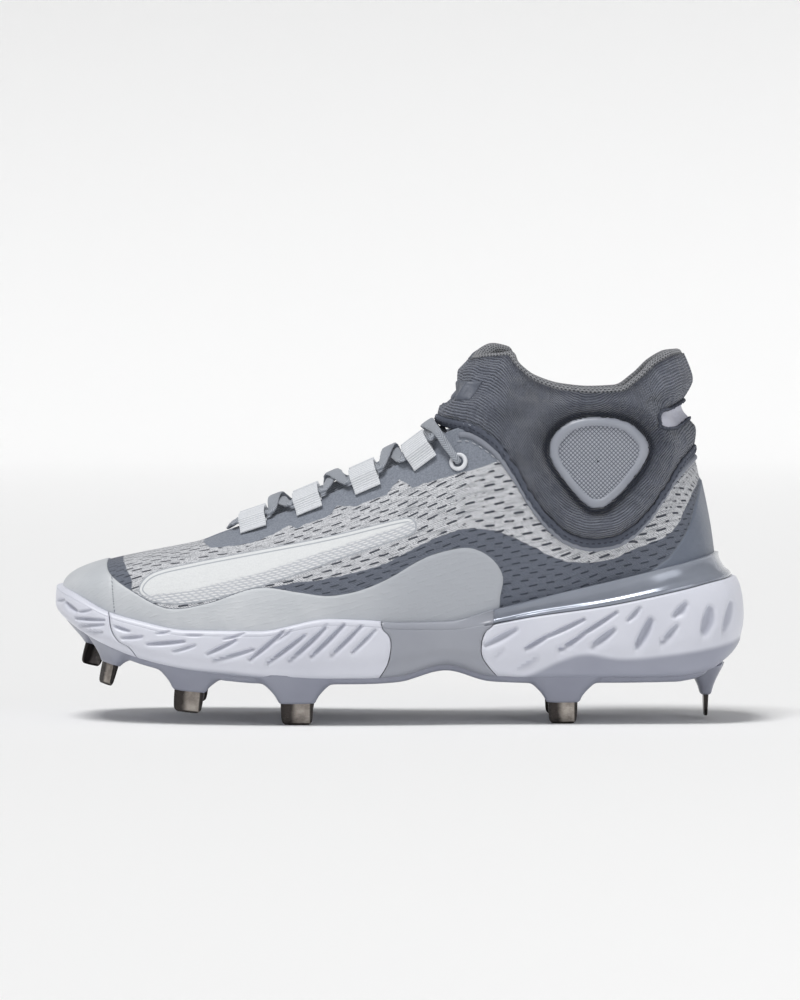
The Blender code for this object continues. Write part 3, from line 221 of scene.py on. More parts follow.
shell = curveTable(
    "turn along half height rise flare crown pitch",
    (0.00, 0.2180, 0.000, 0.474, 0.30, 36, 0.76, 10),
    (0.05, 0.2190, 0.045, 0.475, 0.30, 35, 0.72, 11),
    (0.10, 0.2220, 0.078, 0.478, 0.30, 32, 0.64, 13),
    (0.15, 0.2300, 0.100, 0.486, 0.31, 29, 0.56, 16),
    (0.20, 0.2450, 0.113, 0.498, 0.32, 26, 0.48, 19),
    (0.30, 0.3000, 0.128, 0.531, 0.34, 20, 0.38, 26),
    (0.40, 0.3900, 0.150, 0.598, 0.35, 15, 0.34, 35),
    (0.45, 0.4500, 0.168, 0.644, 0.35, 13, 0.32, 40),
    (0.50, 0.5200, 0.195, 0.706, 0.35, 11, 0.31, 48),
    (0.54, 0.5660, 0.228, 0.766, 0.34, 10, 0.30, 58),
    (0.57, 0.5940, 0.262, 0.780, 0.33, 9, 0.30, 66),
    (0.60, 0.6320, 0.296, 0.742, 0.32, 9, 0.30, 74),
    (0.63, 0.6640, 0.318, 0.667, 0.32, 8, 0.30, 80),
    (0.66, 0.6900, 0.332, 0.587, 0.32, 8, 0.30, 84),
    (0.69, 0.7160, 0.341, 0.526, 0.32, 8, 0.30, 87),
    (0.72, 0.7450, 0.346, 0.486, 0.32, 8, 0.30, 88),
    (0.75, 0.7750, 0.347, 0.473, 0.32, 8, 0.30, 89),
    (0.78, 0.8050, 0.343, 0.479, 0.32, 8, 0.30, 89),
    (0.81, 0.8320, 0.331, 0.505, 0.32, 9, 0.30, 88),
    (0.84, 0.8540, 0.310, 0.545, 0.32, 9, 0.30, 86),
    (0.87, 0.8750, 0.277, 0.602, 0.33, 10, 0.30, 83),
    (0.90, 0.8930, 0.232, 0.655, 0.33, 10, 0.31, 80),
    (0.94, 0.9110, 0.156, 0.692, 0.33, 11, 0.32, 77),
    (1.00, 0.9260, 0.000, 0.716, 0.33, 11, 0.33, 76),
)
footEnds = (0.022, 0.952)
cuffFront = curveTable(
    "part along half height",
    (0.00, 0.5570, 0.000, 0.798),
    (0.30, 0.5590, 0.085, 0.797),
    (0.60, 0.5660, 0.165, 0.792),
    (1.00, 0.5910, 0.258, 0.780),
)
cuffTop = curveTable(
    "round along half height",
    (0.00, 0.6000, 0.000, 0.958),
    (0.08, 0.6060, 0.090, 0.966),
    (0.16, 0.6280, 0.166, 0.978),
    (0.24, 0.6520, 0.226, 0.976),
    (0.32, 0.6700, 0.272, 0.938),
    (0.40, 0.6980, 0.304, 0.900),
    (0.50, 0.7380, 0.326, 0.876),
    (0.60, 0.7780, 0.330, 0.868),
    (0.70, 0.8160, 0.316, 0.872),
    (0.78, 0.8440, 0.286, 0.905),
    (0.86, 0.8720, 0.232, 0.948),
    (0.93, 0.8980, 0.150, 0.970),
    (1.00, 0.9130, 0.000, 0.974),
)
cornerTurn, throatEnd = 15 / 26, 14 / 26


# small helpers for points
def place(along, across, height):
    along, across, height = np.broadcast_arrays(along, across, height)
    return np.stack(
        (
            (along - 0.5) * shoe["length"],
            across * shoe["ballWidth"] - shoe["sideShift"],
            height * shoe["cuffHeight"],
        ),
        axis=-1,
    ).astype(float)


def unit(vector):
    return vector / np.maximum(np.linalg.norm(vector, axis=-1, keepdims=True), 1e-12)


def ease(value, low, high):
    t = np.clip((value - low) / (high - low), 0, 1)
    return t * t * (3 - 2 * t)


def hill(value, top, width):
    return np.exp(-(((value - top) / width) ** 2))


def turnRound(position):
    # positions run from -1 at the heel over 0 at the toe to 1 at the heel
    return (position + 1) % 2 - 1


def sideMm(points):
    # side outlines are in millimetres: from the toe's tip, and above the floor
    points = np.asarray(points, float)
    return np.stack((points[:, 0] / 1000 - shoe["length"] / 2, points[:, 1] / 1000), axis=1)


def sideShares(points):
    points = np.asarray(points, float)
    return place(points[:, 0], 0.0, points[:, 1])[:, [0, 2]]


def rounded(corners, parts=6, closed=False):
    # a smooth curve through given corners
    c = np.asarray(corners, float)
    count = len(c)
    found = []
    for k in range(count if closed else count - 1):
        if closed:
            p = [c[(k + j) % count] for j in (-1, 0, 1, 2)]
        else:
            p = [c[max(k - 1, 0)], c[k], c[k + 1], c[min(k + 2, count - 1)]]
        t = (np.arange(parts) / parts)[:, None]
        found.append(
            0.5 * (2 * p[1] + (p[2] - p[0]) * t + (2 * p[0] - 5 * p[1] + 4 * p[2] - p[3]) * t * t
                   + (3 * p[1] - p[0] - 3 * p[2] + p[3]) * t ** 3)
        )
    if not closed:
        found.append(c[-1:])
    return np.concatenate(found)


def insideBy(xz, outline):
    # millimetres from a closed side outline, positive inside it
    a, b = outline, np.roll(outline, -1, axis=0)
    best = np.full(len(xz), 1e9)
    inside = np.zeros(len(xz), bool)
    for p, q in zip(a, b):
        d = q - p
        t = np.clip(((xz - p) @ d) / max(d @ d, 1e-12), 0, 1)
        best = np.minimum(best, np.linalg.norm(xz - p - t[:, None] * d, axis=1))
        if p[1] != q[1]:
            cross = (p[1] > xz[:, 1]) != (q[1] > xz[:, 1])
            inside ^= cross & (xz[:, 0] < d[0] * (xz[:, 1] - p[1]) / d[1] + p[0])
    return np.where(inside, best, -best) * 1000


# the upper's own surface
def footAlong(turn):
    return footEnds[0] + (footEnds[1] - footEnds[0]) * (1 - np.cos(np.pi * turn)) / 2


def feather(position):
    turn, inner = np.abs(position), np.asarray(position) >= 0
    along = footAlong(turn)
    half = np.where(inner, plan("footIn", turn), -plan("footOut", turn))
    point = place(along, middle("shift", along) + half, sole("bed", along))
    point[..., 2] += shoe["gap"]
    return point


def outward(position):
    run = (feather(turnRound(position + 0.01)) - feather(turnRound(position - 0.01))) * (1, 1, 0)
    run = unit(run)
    return np.stack((-run[..., 1], run[..., 0], np.zeros_like(run[..., 0])), axis=-1)


def topLine(position):
    turn, sign = np.abs(position), np.where(np.asarray(position) >= 0, 1, -1)
    along = shell("along", turn)
    return place(along, middle("shift", along) * 0.8 + sign * shell("half", turn), shell("height", turn))


def upperPoint(position, row):
    # row 0 is at the sole, row 1 at the top line
    position, row = np.broadcast_arrays(np.asarray(position, float), np.asarray(row, float))
    turn = np.abs(position)
    start, end, out = feather(position), topLine(position), outward(position)
    far = np.linalg.norm(end - start, axis=-1, keepdims=True)
    flare, pitch = np.radians(shell("flare", turn))[..., None], np.radians(shell("pitch", turn))[..., None]
    up = np.array((0.0, 0.0, 1.0))
    first = shell("rise", turn)[..., None] * far * (up * np.cos(flare) + out * np.sin(flare))
    last = shell("crown", turn)[..., None] * far * (out * np.cos(pitch) - up * np.sin(pitch))
    t = row[..., None]
    s = 1 - t
    return s ** 3 * start + 3 * s * s * t * (start + first) + 3 * s * t * t * (end + last) + t ** 3 * end


def gridNormals(grid, closed=True):
    across = np.roll(grid, -1, axis=0) - np.roll(grid, 1, axis=0) if closed else np.gradient(grid, axis=0)
    return unit(np.cross(np.gradient(grid, axis=1), across))


# meshes
def quads(columns, rows, closedColumns=True, closedRows=False):
    c = np.arange(columns if closedColumns else columns - 1)
    r = np.arange(rows if closedRows else rows - 1)
    c, r = [x.ravel() for x in np.meshgrid(c, r, indexing="ij")]
    n, q = (c + 1) % columns, (r + 1) % rows
    return np.stack((c * rows + r, n * rows + r, n * rows + q, c * rows + q), axis=1)


def closedRun(rings, sides):
    # faces of a run of rings with both ends closed
    ends = [list(range(sides)), list(range((rings - 1) * sides, rings * sides))[::-1]]
    return quads(rings, sides, False, True).tolist() + ends


def capFaces(first, count):
    # an end over a ring of points that runs up one face and down the other
    last = first + count - 1
    return [[first + r, first + r + 1, last - 1 - r, last - r] for r in range(count // 2 - 1)]


def makePiece(name, points, faces, material, merge=0.0, sharp=None):
    mesh = bpy.data.meshes.new(name)
    mesh.from_pydata(np.asarray(points).reshape(-1, 3).tolist(), [], [list(map(int, f)) for f in faces])
    if merge:
        work = bmesh.new()
        work.from_mesh(mesh)
        bmesh.ops.remove_doubles(work, verts=work.verts, dist=merge)
        bmesh.ops.recalc_face_normals(work, faces=work.faces)
        work.to_mesh(mesh)
        work.free()
    mesh.shade_smooth()
    if sharp:
        mesh.set_sharp_from_angle(angle=math.radians(sharp))
    piece = bpy.data.objects.new(name, mesh)
    scene.collection.objects.link(piece)
    for each in material if isinstance(material, (list, tuple)) else [material]:
        mesh.materials.append(each)
    return piece


def addField(piece, name, values):
    values = np.asarray(values, float)
    kind = "FLOAT" if values.ndim == 1 else "FLOAT_VECTOR"
    field = piece.data.attributes.new(name, kind, "POINT")
    field.data.foreach_set("value" if values.ndim == 1 else "vector", values.ravel())


def meshPoints(piece):
    found = np.empty(len(piece.data.vertices) * 3)
    piece.data.vertices.foreach_get("co", found)
    return found.reshape(-1, 3)


def settled(piece):
    # the piece's modifiers worked into a plain mesh
    bpy.context.view_layer.update()
    made = bpy.data.meshes.new_from_object(piece.evaluated_get(bpy.context.evaluated_depsgraph_get()))
    piece.modifiers.clear()
    piece.data = made
    return made


def finished(piece, slotName, *replaced):
    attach(piece, "root")
    if replaced:
        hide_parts(*replaced)
    return piece


def tube(name, path, radius, material, sides=10, closed=False, flat=1.0, ups=None):
    # a round or flattened tube along a path
    path = np.asarray(path, float)
    way = np.roll(path, -1, 0) - np.roll(path, 1, 0) if closed else np.gradient(path, axis=0)
    way = unit(way)
    up = np.tile((0.0, 0.0, 1.0), (len(path), 1)) if ups is None else np.asarray(ups)
    side = unit(np.cross(way, up))
    up = unit(np.cross(side, way))
    angle = 2 * np.pi * np.arange(sides) / sides
    radius = np.broadcast_to(np.asarray(radius, float), (len(path),))[:, None, None]
    ring = path[:, None] + radius * (
        side[:, None] * np.cos(angle)[None, :, None] + up[:, None] * flat * np.sin(angle)[None, :, None]
    )
    faces = quads(len(path), sides, True, True).tolist() if closed else closedRun(len(path), sides)
    return makePiece(name, ring, faces, material, merge=1e-7)


# materials
def newLook(name, roughness=0.7, metallic=0.0, sheen=0.0, coat=0.0):
    made = bpy.data.materials.new(name)
    made.use_nodes = True
    tree = made.node_tree
    shader = tree.nodes["Principled BSDF"]
    shader.inputs["Roughness"].default_value = roughness
    shader.inputs["Metallic"].default_value = metallic
    shader.inputs["Sheen Weight"].default_value = sheen
    shader.inputs["Coat Weight"].default_value = coat
    shader.inputs["Coat Roughness"].default_value = 0.25
    return made, tree, shader


def srgb(r, g, b):
    channel = lambda v: v / 12.92 if v <= 0.04045 else ((v + 0.055) / 1.055) ** 2.4
    return (channel(r / 255), channel(g / 255), channel(b / 255), 1.0)


def put(tree, kind, inputs=None, **settings):
    node = tree.nodes.new(kind)
    for key, value in settings.items():
        setattr(node, key, value)
    for key, value in (inputs or {}).items():
        if isinstance(value, bpy.types.NodeSocket):
            tree.links.new(value, node.inputs[key])
        else:
            node.inputs[key].default_value = value
    return node


def treeOf(*values):
    # the node tree of the first socket among the values
    return next(value.id_data for value in values if isinstance(value, bpy.types.NodeSocket))


def sums(operation, a, b=0.0, c=0.0):
    return put(treeOf(a, b, c), "ShaderNodeMath", {0: a, 1: b, 2: c}, operation=operation).outputs[0]


def plus(a, b):
    return sums("ADD", a, b)


def minus(a, b):
    return sums("SUBTRACT", a, b)


def times(a, b):
    return sums("MULTIPLY", a, b)


def larger(a, b):
    return sums("MAXIMUM", a, b)


def absolute(a):
    return sums("ABSOLUTE", a)


def vectors(operation, a, b):
    return put(treeOf(a, b), "ShaderNodeVectorMath", {0: a, 1: b}, operation=operation).outputs[0]


def waves(where, scale, distortion, detail):
    inputs = {"Vector": where, "Scale": scale, "Distortion": distortion, "Detail": detail}
    return put(treeOf(where), "ShaderNodeTexWave", inputs, bands_direction="Y").outputs["Fac"]


def blendColour(factor, a, b):
    return put(treeOf(factor, a, b), "ShaderNodeMix", {0: factor, 6: a, 7: b}, data_type="RGBA").outputs[2]


def dress(shader, colour, normal, roughness=None):
    # links the finished colour, relief and roughness to the shader
    links = shader.id_data.links
    links.new(colour, shader.inputs["Base Color"])
    links.new(normal, shader.inputs["Normal"])
    if roughness is not None:
        links.new(roughness, shader.inputs["Roughness"])


def fieldOf(tree, name, vector=False):
    node = put(tree, "ShaderNodeAttribute", attribute_name=name)
    return node.outputs["Vector" if vector else "Fac"]


def objectPoint(tree, scale=(1, 1, 1), turn=(0, 0, 0)):
    where = put(tree, "ShaderNodeTexCoord").outputs["Object"]
    return put(tree, "ShaderNodeMapping", {"Vector": where, "Scale": scale, "Rotation": turn}).outputs[0]


def noise(where, scale, detail=3.0, rough=0.5):
    inputs = {"Vector": where, "Scale": scale, "Detail": detail, "Roughness": rough}
    return put(treeOf(where), "ShaderNodeTexNoise", inputs).outputs[0]


def cloudy(cloud, first, second):
    # two tints in soft clouds
    return blendColour(ramp(cloud, 0.3, 0.7), first, second)


def mask(value, low, high):
    inputs = {"Value": value, "From Min": low, "From Max": high}
    return put(treeOf(value), "ShaderNodeMapRange", inputs, interpolation_type="SMOOTHSTEP").outputs[0]


def ramp(value, low, high, toLow=0.0, toHigh=1.0):
    inputs = {"Value": value, "From Min": low, "From Max": high, "To Min": toLow, "To Max": toHigh}
    return put(treeOf(value), "ShaderNodeMapRange", inputs).outputs[0]


def relief(height, distance, strength=1.0):
    inputs = {"Height": height, "Distance": distance, "Strength": strength}
    return put(treeOf(height), "ShaderNodeBump", inputs).outputs[0]


def rowPattern(uv, pitchAlong, pitchAcross, width, height, skew=0.0):
    # rows of short dashes, every second row shifted by half a pitch; 1 on a dash
    part = put(treeOf(uv), "ShaderNodeSeparateXYZ", {0: uv})
    u, v = part.outputs[0], part.outputs[1]
    row = sums("DIVIDE", v, pitchAcross)
    whole = sums("FLOOR", row)
    shift = times(sums("MODULO", absolute(whole), 2.0), 0.5)
    across = absolute(minus(minus(row, whole), 0.5))
    lean = sums("MULTIPLY_ADD", minus(row, whole), skew, u)
    cell = sums("FRACT", plus(sums("DIVIDE", lean, pitchAlong), shift))
    beside = absolute(minus(cell, 0.5))
    x = larger(minus(times(beside, pitchAlong), (width - height) / 2), 0.0)
    y = times(across, pitchAcross)
    far = sums("SQRT", plus(times(x, x), times(y, y)))
    return mask(far, height * 0.62, height * 0.38)


print("upper: surface")
upper = {"columns": 680, "rows": 108, "wall": 0.002, "film": 0.0007, "blade": 0.00035, "edge": 0.35}

toeFilm = sideShares((
    (0.077, 0.428), (0.084, 0.393), (0.116, 0.351), (0.169, 0.306), (0.225, 0.319), (0.280, 0.353),
    (0.313, 0.361), (0.359, 0.349), (0.401, 0.341), (0.446, 0.356), (0.488, 0.389), (0.530, 0.434),
    (0.565, 0.457), (0.602, 0.465), (0.632, 0.438), (0.648, 0.391), (0.644, 0.335),
))
toeFilm = np.concatenate((rounded(toeFilm), sideShares(((0.64, 0.1), (-0.06, 0.1), (-0.06, 0.56), (0.077, 0.56)))))
heelFilm = sideMm((
    (281.2, 106.6), (279.6, 99.6), (277.7, 94), (275.1, 85.2), (271.8, 79.1), (266, 71.3), (258.5, 66.1),
    (250, 52.5), (307.4, 40), (307.4, 109.2),
))
toeKnit = sideMm((
    (15, 82), (27.5, 78.3), (30.1, 70.4), (33.1, 65.2), (34.9, 62.1), (35.3, 56), (28.3, 50), (10, 55),
))
throatZone = sideMm((
    (65.4, 77.4), (68.9, 75.4), (73.2, 75.8), (80.7, 76.5), (88.9, 78.3), (98.5, 82.8), (102.5, 85.3),
    (105.5, 83.7), (119.9, 89.6), (123.4, 93.8), (130.4, 93.3), (145.2, 98.8), (147.2, 102.2), (150.4, 105.2),
    (155.7, 101.4), (161.3, 103.5), (177.5, 108.5), (192.3, 112.7), (202.7, 122.3), (202.7, 160), (60, 160),
    (61, 80),
))
waveZone = np.concatenate((rounded(sideMm((
    (80, 55.5), (90, 58.3), (102.5, 60.8), (119.9, 63.4), (141.7, 68.7), (161.8, 78.7), (178.3, 84.4), (191.8, 83.1),
    (204, 78.3), (219.7, 70.8), (236.3, 70), (252.9, 76.1), (267.3, 82.6), (274.2, 94), (276.9, 99.2),
    (281.2, 105.7),
))), sideMm(((307.4, 104.9), (307.4, 25), (80, 25)))))
bladeZone = rounded(sideMm((
    (38, 58), (44, 65), (62, 69.5), (90, 75), (120, 81), (149, 88.2), (155.6, 88.6), (157.6, 85), (154, 81.2),
    (130, 73), (105, 64), (85, 57.6), (68, 53.2), (54, 51.6), (43, 53),
)), closed=True)

positions = np.arange(upper["columns"]) / upper["columns"] * 2 - 1
rowShares = np.linspace(0, 1, upper["rows"] + 1)
outer = upperPoint(positions[:, None], rowShares[None])
outNormal = gridNormals(outer)
flatOuter = outer.reshape(-1, 3)
sideXz = flatOuter[:, [0, 2]]
fields = {
    "film": insideBy(sideXz, toeFilm),
    "heelFilm": insideBy(sideXz, heelFilm),
    "toeKnit": insideBy(sideXz, toeKnit),
    "throat": insideBy(sideXz, throatZone),
    "wave": insideBy(sideXz, waveZone),
    "blade": insideBy(sideXz, bladeZone),
}
proud = upper["film"] * ease(fields["film"], 0, upper["edge"])
proud = np.maximum(proud, upper["film"] * ease(fields["heelFilm"], 0, upper["edge"]))
proud += upper["blade"] * ease(fields["blade"], 0, 0.5) * (fields["film"] < 0)
seamX = place(0.092, 0, 0)[0] + (sideXz[:, 1] - 0.050) * -0.10   # the toe film's own seam
toeSeam = np.abs(sideXz[:, 0] - seamX) * 1000
fields["toeSeam"] = toeSeam
proud -= 0.0005 * ease(toeSeam, 0.7, 0.0) * (fields["film"] > 0)
# soft swells of the knit over the foot, and the rolled edge along the throat
turnGrid = np.repeat(np.abs(positions), upper["rows"] + 1)
rowGrid = np.tile(rowShares, upper["columns"])
proud += 0.0004 * ease(rowGrid, 0.90, 0.97) * (turnGrid < throatEnd) * ease(turnGrid, 0.2, 0.27)
proud -= 0.0016 * ease(rowGrid, 0.985, 1.0) * (turnGrid < throatEnd)
outer = (flatOuter + outNormal.reshape(-1, 3) * proud[:, None]).reshape(outer.shape)
innerRows = np.array((1.0, 0.985, 0.95, 0.9, 0.8, 0.7, 0.6, 0.5, 0.4, 0.3, 0.2, 0.1, 0.0))
inner = upperPoint(positions[:, None], innerRows[None])
inner = inner + gridNormals(inner) * upper["wall"]
columns = np.concatenate((outer, inner), axis=1)
rowCount = columns.shape[1]

def knitUv():
    # rows of the knit rise to the heel: u runs along the shoe and on round the heel, v climbs from sole to throat
    x, across, z = outer[..., 0], outer[..., 1] + shoe["sideShift"], outer[..., 2]
    y = np.abs(across)
    u = x + 0.3 + ease(x, 0.06, 0.09) * np.maximum(0, 0.030 - y)
    rise = ([-0.15, -0.08, -0.02, 0.03, 0.07, 0.10, 0.15], [0.032, 0.047, 0.062, 0.079, 0.086, 0.095, 0.113])
    climb = np.interp(x, *rise)
    half = np.zeros_like(x)
    for sign in (1, -1):
        wall = outer[:, upper["rows"] // 3] + (0, shoe["sideShift"], 0)
        wall = wall[wall[:, 1] * sign > 0]
        wall = wall[wall[:, 0].argsort()]
        half = np.where(across * sign > 0, np.interp(np.maximum(x, -0.105), wall[:, 0], np.abs(wall[:, 1])), half)
    return np.stack((u, z - climb + 0.1 + half - y, np.zeros_like(x)), axis=-1)


def fullField(values, fill):
    grid = np.full((upper["columns"], rowCount) + values.shape[1:], fill, float)
    grid[:, : upper["rows"] + 1] = values.reshape((upper["columns"], upper["rows"] + 1) + values.shape[1:])
    return grid.reshape((-1,) + values.shape[1:])


# the knit, its films and printed blade
knit = {
    "light": srgb(224, 225, 229), "lightShade": srgb(108, 113, 122), "dark": srgb(128, 134, 147),
    "darkShade": srgb(80, 86, 99), "throat": srgb(140, 146, 157), "film": srgb(208, 211, 215),
    # patch: the toe film's tint toward the arch, a painted shade
    "patch": srgb(178, 182, 189), "filmEdge": srgb(112, 118, 128), "counter": srgb(112, 120, 135),
    "blade": srgb(230, 232, 233), "bladeLine": srgb(176, 180, 187), "hole": srgb(62, 68, 80),
    "deepHole": srgb(56, 61, 73),
    # dashes: pitch along and across, width, height and lean, in metres
    "notches": (0.0074, 0.0027, 0.0036, 0.0007, 0.0012),
    "longDashes": (0.0082, 0.0033, 0.0044, 0.0010, 0.0014),
    "bladeDashes": (0.0031, 0.0016, 0.0022, 0.0009, 0.0018),
}


def bladeTint(tree, grain, dashes, lowHalf):
    # the blade: pale above, dashed in its lower half, with a rim and a fine inner line
    inFrom = fieldOf(tree, "blade")
    innerLine = times(mask(inFrom, 1.55, 1.75), mask(inFrom, 2.25, 2.05))
    tint = blendColour(ramp(grain, 0.35, 0.65, 0.0, 0.25), knit["blade"], srgb(205, 207, 211))
    tint = blendColour(lowHalf, tint, blendColour(dashes, srgb(196, 199, 205), srgb(232, 233, 235)))
    lines = larger(times(innerLine, minus(1.0, lowHalf)), mask(inFrom, 0.75, 0.55))
    return blendColour(lines, tint, knit["bladeLine"])


def filmTint(tree, cloud):
    # the toe film darkens toward the arch with painted shade, and has its own seam
    tint = cloudy(cloud, knit["film"], srgb(194, 198, 203))
    backward = put(tree, "ShaderNodeSeparateXYZ", {0: objectPoint(tree)}).outputs[0]
    # painted shade: the film darker toward the arch
    tint = blendColour(mask(backward, -0.050, 0.012), tint, knit["patch"])
    return blendColour(mask(fieldOf(tree, "toeSeam"), 0.32, 0.12), tint, knit["filmEdge"])


def knitMaterial():
    look, tree, shader = newLook("engineeredKnit", roughness=0.85, sheen=0.15)
    uv = fieldOf(tree, "knitUv", True)
    warp = noise(objectPoint(tree), 260, 2)
    warped = vectors("ADD", uv, vectors("MULTIPLY", noise(objectPoint(tree), 90, 2), (0.0016, 0.0016, 0.0)))
    ribs = []
    for lean in (0.75, -0.75):
        turned = put(tree, "ShaderNodeMapping", {"Vector": warped, "Rotation": (0, 0, lean)}).outputs[0]
        ribs.append(waves(turned, 420.0, 1.6, 1.0))
    band = waves(warped, 90.0, 0.0, 2.0)
    weave = plus(times(ribs[0], mask(band, 0.35, 0.65)), times(ribs[1], mask(band, 0.65, 0.35)))
    grain = noise(objectPoint(tree), 1400, 2)
    crepe = noise(objectPoint(tree), 850, 2, 0.7)
    thread = plus(times(weave, 0.34), times(plus(grain, crepe), 0.42))
    notch = rowPattern(warped, *knit["notches"])
    longDash = rowPattern(warped, *knit["longDashes"])
    longDash = times(longDash, mask(noise(warped, 130, 1), 0.36, 0.46))   # some are left out
    dashes = rowPattern(uv, *knit["bladeDashes"])
    lowHalf = fieldOf(tree, "bladeLow")

    light = blendColour(ramp(thread, 0.36, 0.60), knit["lightShade"], knit["light"])
    strand = put(tree, "ShaderNodeMapping", {"Vector": uv, "Scale": (90, 700, 1)}).outputs[0]
    light = blendColour(ramp(noise(strand, 1.0, 2), 0.52, 0.72, 0.0, 0.55), light, knit["lightShade"])
    light = blendColour(times(longDash, 0.95), light, knit["deepHole"])
    dark = blendColour(plus(times(weave, 0.25), times(grain, 0.6)), knit["darkShade"], knit["dark"])
    dark = blendColour(notch, dark, knit["hole"])
    throatKnit = blendColour(ramp(grain, 0.3, 0.7, 0.0, 0.45), knit["throat"], knit["darkShade"])

    zone = lambda name, frayed, edge: mask(
        plus(fieldOf(tree, name), ramp(warp, 0, 1, -frayed, frayed)), -edge, edge)
    throatOn = zone("throat", 0.8, 0.2)
    bladeOn = mask(fieldOf(tree, "blade"), -0.1, 0.1)
    filmOn, counterOn = (mask(fieldOf(tree, name), -0.12, 0.12) for name in ("film", "heelFilm"))
    filmCloud = noise(objectPoint(tree), 55, 3)
    colour = blendColour(zone("wave", 0.9, 0.25), light, dark)
    colour = blendColour(zone("toeKnit", 0.6, 0.2), colour, dark)
    colour = blendColour(throatOn, colour, throatKnit)
    colour = blendColour(bladeOn, colour, bladeTint(tree, grain, dashes, lowHalf))
    colour = blendColour(filmOn, colour, filmTint(tree, filmCloud))
    colour = blendColour(counterOn, colour, cloudy(filmCloud, knit["counter"], srgb(103, 111, 126)))
    edges = [mask(absolute(plus(fieldOf(tree, name), 0.10)), 0.24, 0.08) for name in ("film", "heelFilm")]
    colour = blendColour(larger(*edges), colour, knit["filmEdge"])

    smoothOn = larger(filmOn, counterOn)
    softOn = larger(smoothOn, larger(bladeOn, throatOn))
    knitHeight = minus(minus(thread, notch), times(longDash, 1.1))
    knitHeight = times(knitHeight, ramp(softOn, 0, 1, 1.0, 0.12))
    dashHeight = times(times(dashes, lowHalf), bladeOn)
    leather = noise(objectPoint(tree), 420, 3)
    fineHeight = times(plus(times(leather, 0.22), times(filmCloud, 0.9)), softOn)
    height = plus(plus(knitHeight, times(dashHeight, 0.5)), fineHeight)
    dress(shader, colour, relief(height, 0.00035, 0.9), ramp(smoothOn, 0, 1, 0.88, 0.50))
    return look


def liningMaterial():
    look, tree, shader = newLook("darkLining", roughness=0.95, sheen=0.2)
    cloth = put(tree, "ShaderNodeTexVoronoi", {"Vector": objectPoint(tree), "Scale": 700.0}).outputs["Distance"]
    dress(shader, blendColour(cloth, srgb(66, 71, 82), srgb(104, 110, 121)), relief(cloth, 0.0004, 0.7))
    return look


knitLook, liningLook = knitMaterial(), liningMaterial()
upperFaces = quads(upper["columns"], rowCount)
upperPiece = makePiece("knitUpper", columns, upperFaces, [knitLook, liningLook])
faceRows = np.tile(np.arange(rowCount - 1), upper["columns"])
upperPiece.data.polygons.foreach_set("material_index", (faceRows >= upper["rows"] + 1).astype(int))
for name, values in fields.items():
    addField(upperPiece, name, fullField(values, -9.0 if name != "toeSeam" else 9.0))
lowEdge = np.interp(sideXz[:, 0] * 1000 + 150, [38, 60, 90, 120, 150, 177], [55, 57.5, 65, 75, 85, 96])
addField(upperPiece, "bladeLow", fullField(ease(lowEdge - sideXz[:, 1] * 1000, -0.15, 0.15), 0.0))
addField(upperPiece, "knitUv", fullField(knitUv().reshape(-1, 3), 0.0))
finished(upperPiece, "knit", "upper", "toe_overlay", "heel_counter")

print("sole: hi-res blocks")
soleSizes = {
    "columns": 1160, "lip": 0.0020, "hollow": 0.0016, "plate": 0.0040, "plateInset": 0.0015,
    "seam": 0.9, "seamDepth": 0.0006,
    "carve": 0.00125,   # metres of depth for each millimetre in the tables
}
# grooves of the carved foam: two ends in side millimetres, width and depth in millimetres
foreGrooves = (
    (2.0, 52.0, 4.6, 52.8, 2.2, 0.9), (6.2, 51.6, 10.6, 48.6, 3.2, 1.3), (12.2, 48.0, 16.9, 49.0, 2.2, 0.9),
    (10.6, 45.3, 22.9, 45.0, 2.4, 1.2), (11.8, 42.1, 22.6, 43.0, 2.4, 1.1), (13.8, 39.6, 22.0, 39.8, 2.4, 1.0),
    (28.0, 42.4, 34.0, 40.6, 2.6, 1.2), (31.0, 37.6, 39.6, 38.4, 2.6, 1.2), (42.2, 35.2, 57.8, 36.6, 2.8, 1.4),
    (46.2, 39.6, 51.5, 40.6, 2.0, 0.9), (53.4, 32.2, 62.4, 34.9, 2.4, 1.1), (58.9, 39.2, 65.5, 39.2, 1.9, 0.8),
    (68.0, 31.4, 80.0, 37.2, 2.8, 1.4), (70.2, 28.4, 87.5, 33.4, 2.8, 1.4), (75.2, 37.6, 83.6, 40.0, 2.0, 0.9),
    (86.0, 29.0, 100.2, 40.8, 3.0, 1.5), (93.4, 27.4, 109.4, 39.4, 3.0, 1.5), (103.0, 28.6, 118.2, 42.4, 3.2, 1.6),
    (112.0, 30.2, 126.2, 43.8, 3.2, 1.6), (121.0, 31.0, 133.6, 43.2, 3.0, 1.5), (129.8, 32.0, 139.4, 41.4, 2.8, 1.3),
    (97.5, 36.4, 104.0, 41.6, 1.8, 0.8), (113.5, 38.0, 119.0, 44.0, 1.8, 0.8),
)
heelGrooves = (
    (187.0, 35.0, 199.6, 41.6, 4.6, 1.4), (203.6, 33.0, 214.0, 39.2, 3.0, 1.7), (212.0, 38.0, 229.0, 45.8, 3.0, 1.6),
    (217.6, 32.2, 229.0, 39.4, 3.0, 1.7), (227.0, 38.6, 243.0, 48.8, 3.0, 1.6), (232.6, 34.6, 241.6, 41.4, 4.4, 1.9),
    (248.0, 45.4, 252.6, 50.4, 3.6, 1.4), (251.4, 34.2, 257.2, 45.2, 5.4, 2.2), (262.0, 35.4, 268.6, 43.0, 4.4, 1.5),
    (268.0, 47.6, 272.2, 52.0, 5.6, 1.7), (280.2, 40.2, 282.8, 49.4, 7.0, 2.2), (289.4, 41.0, 292.4, 52.0, 5.4, 1.6),
    (200.6, 24.4, 208.6, 29.4, 4.6, 1.2), (190.2, 29.2, 194.4, 32.6, 3.4, 0.8),
)
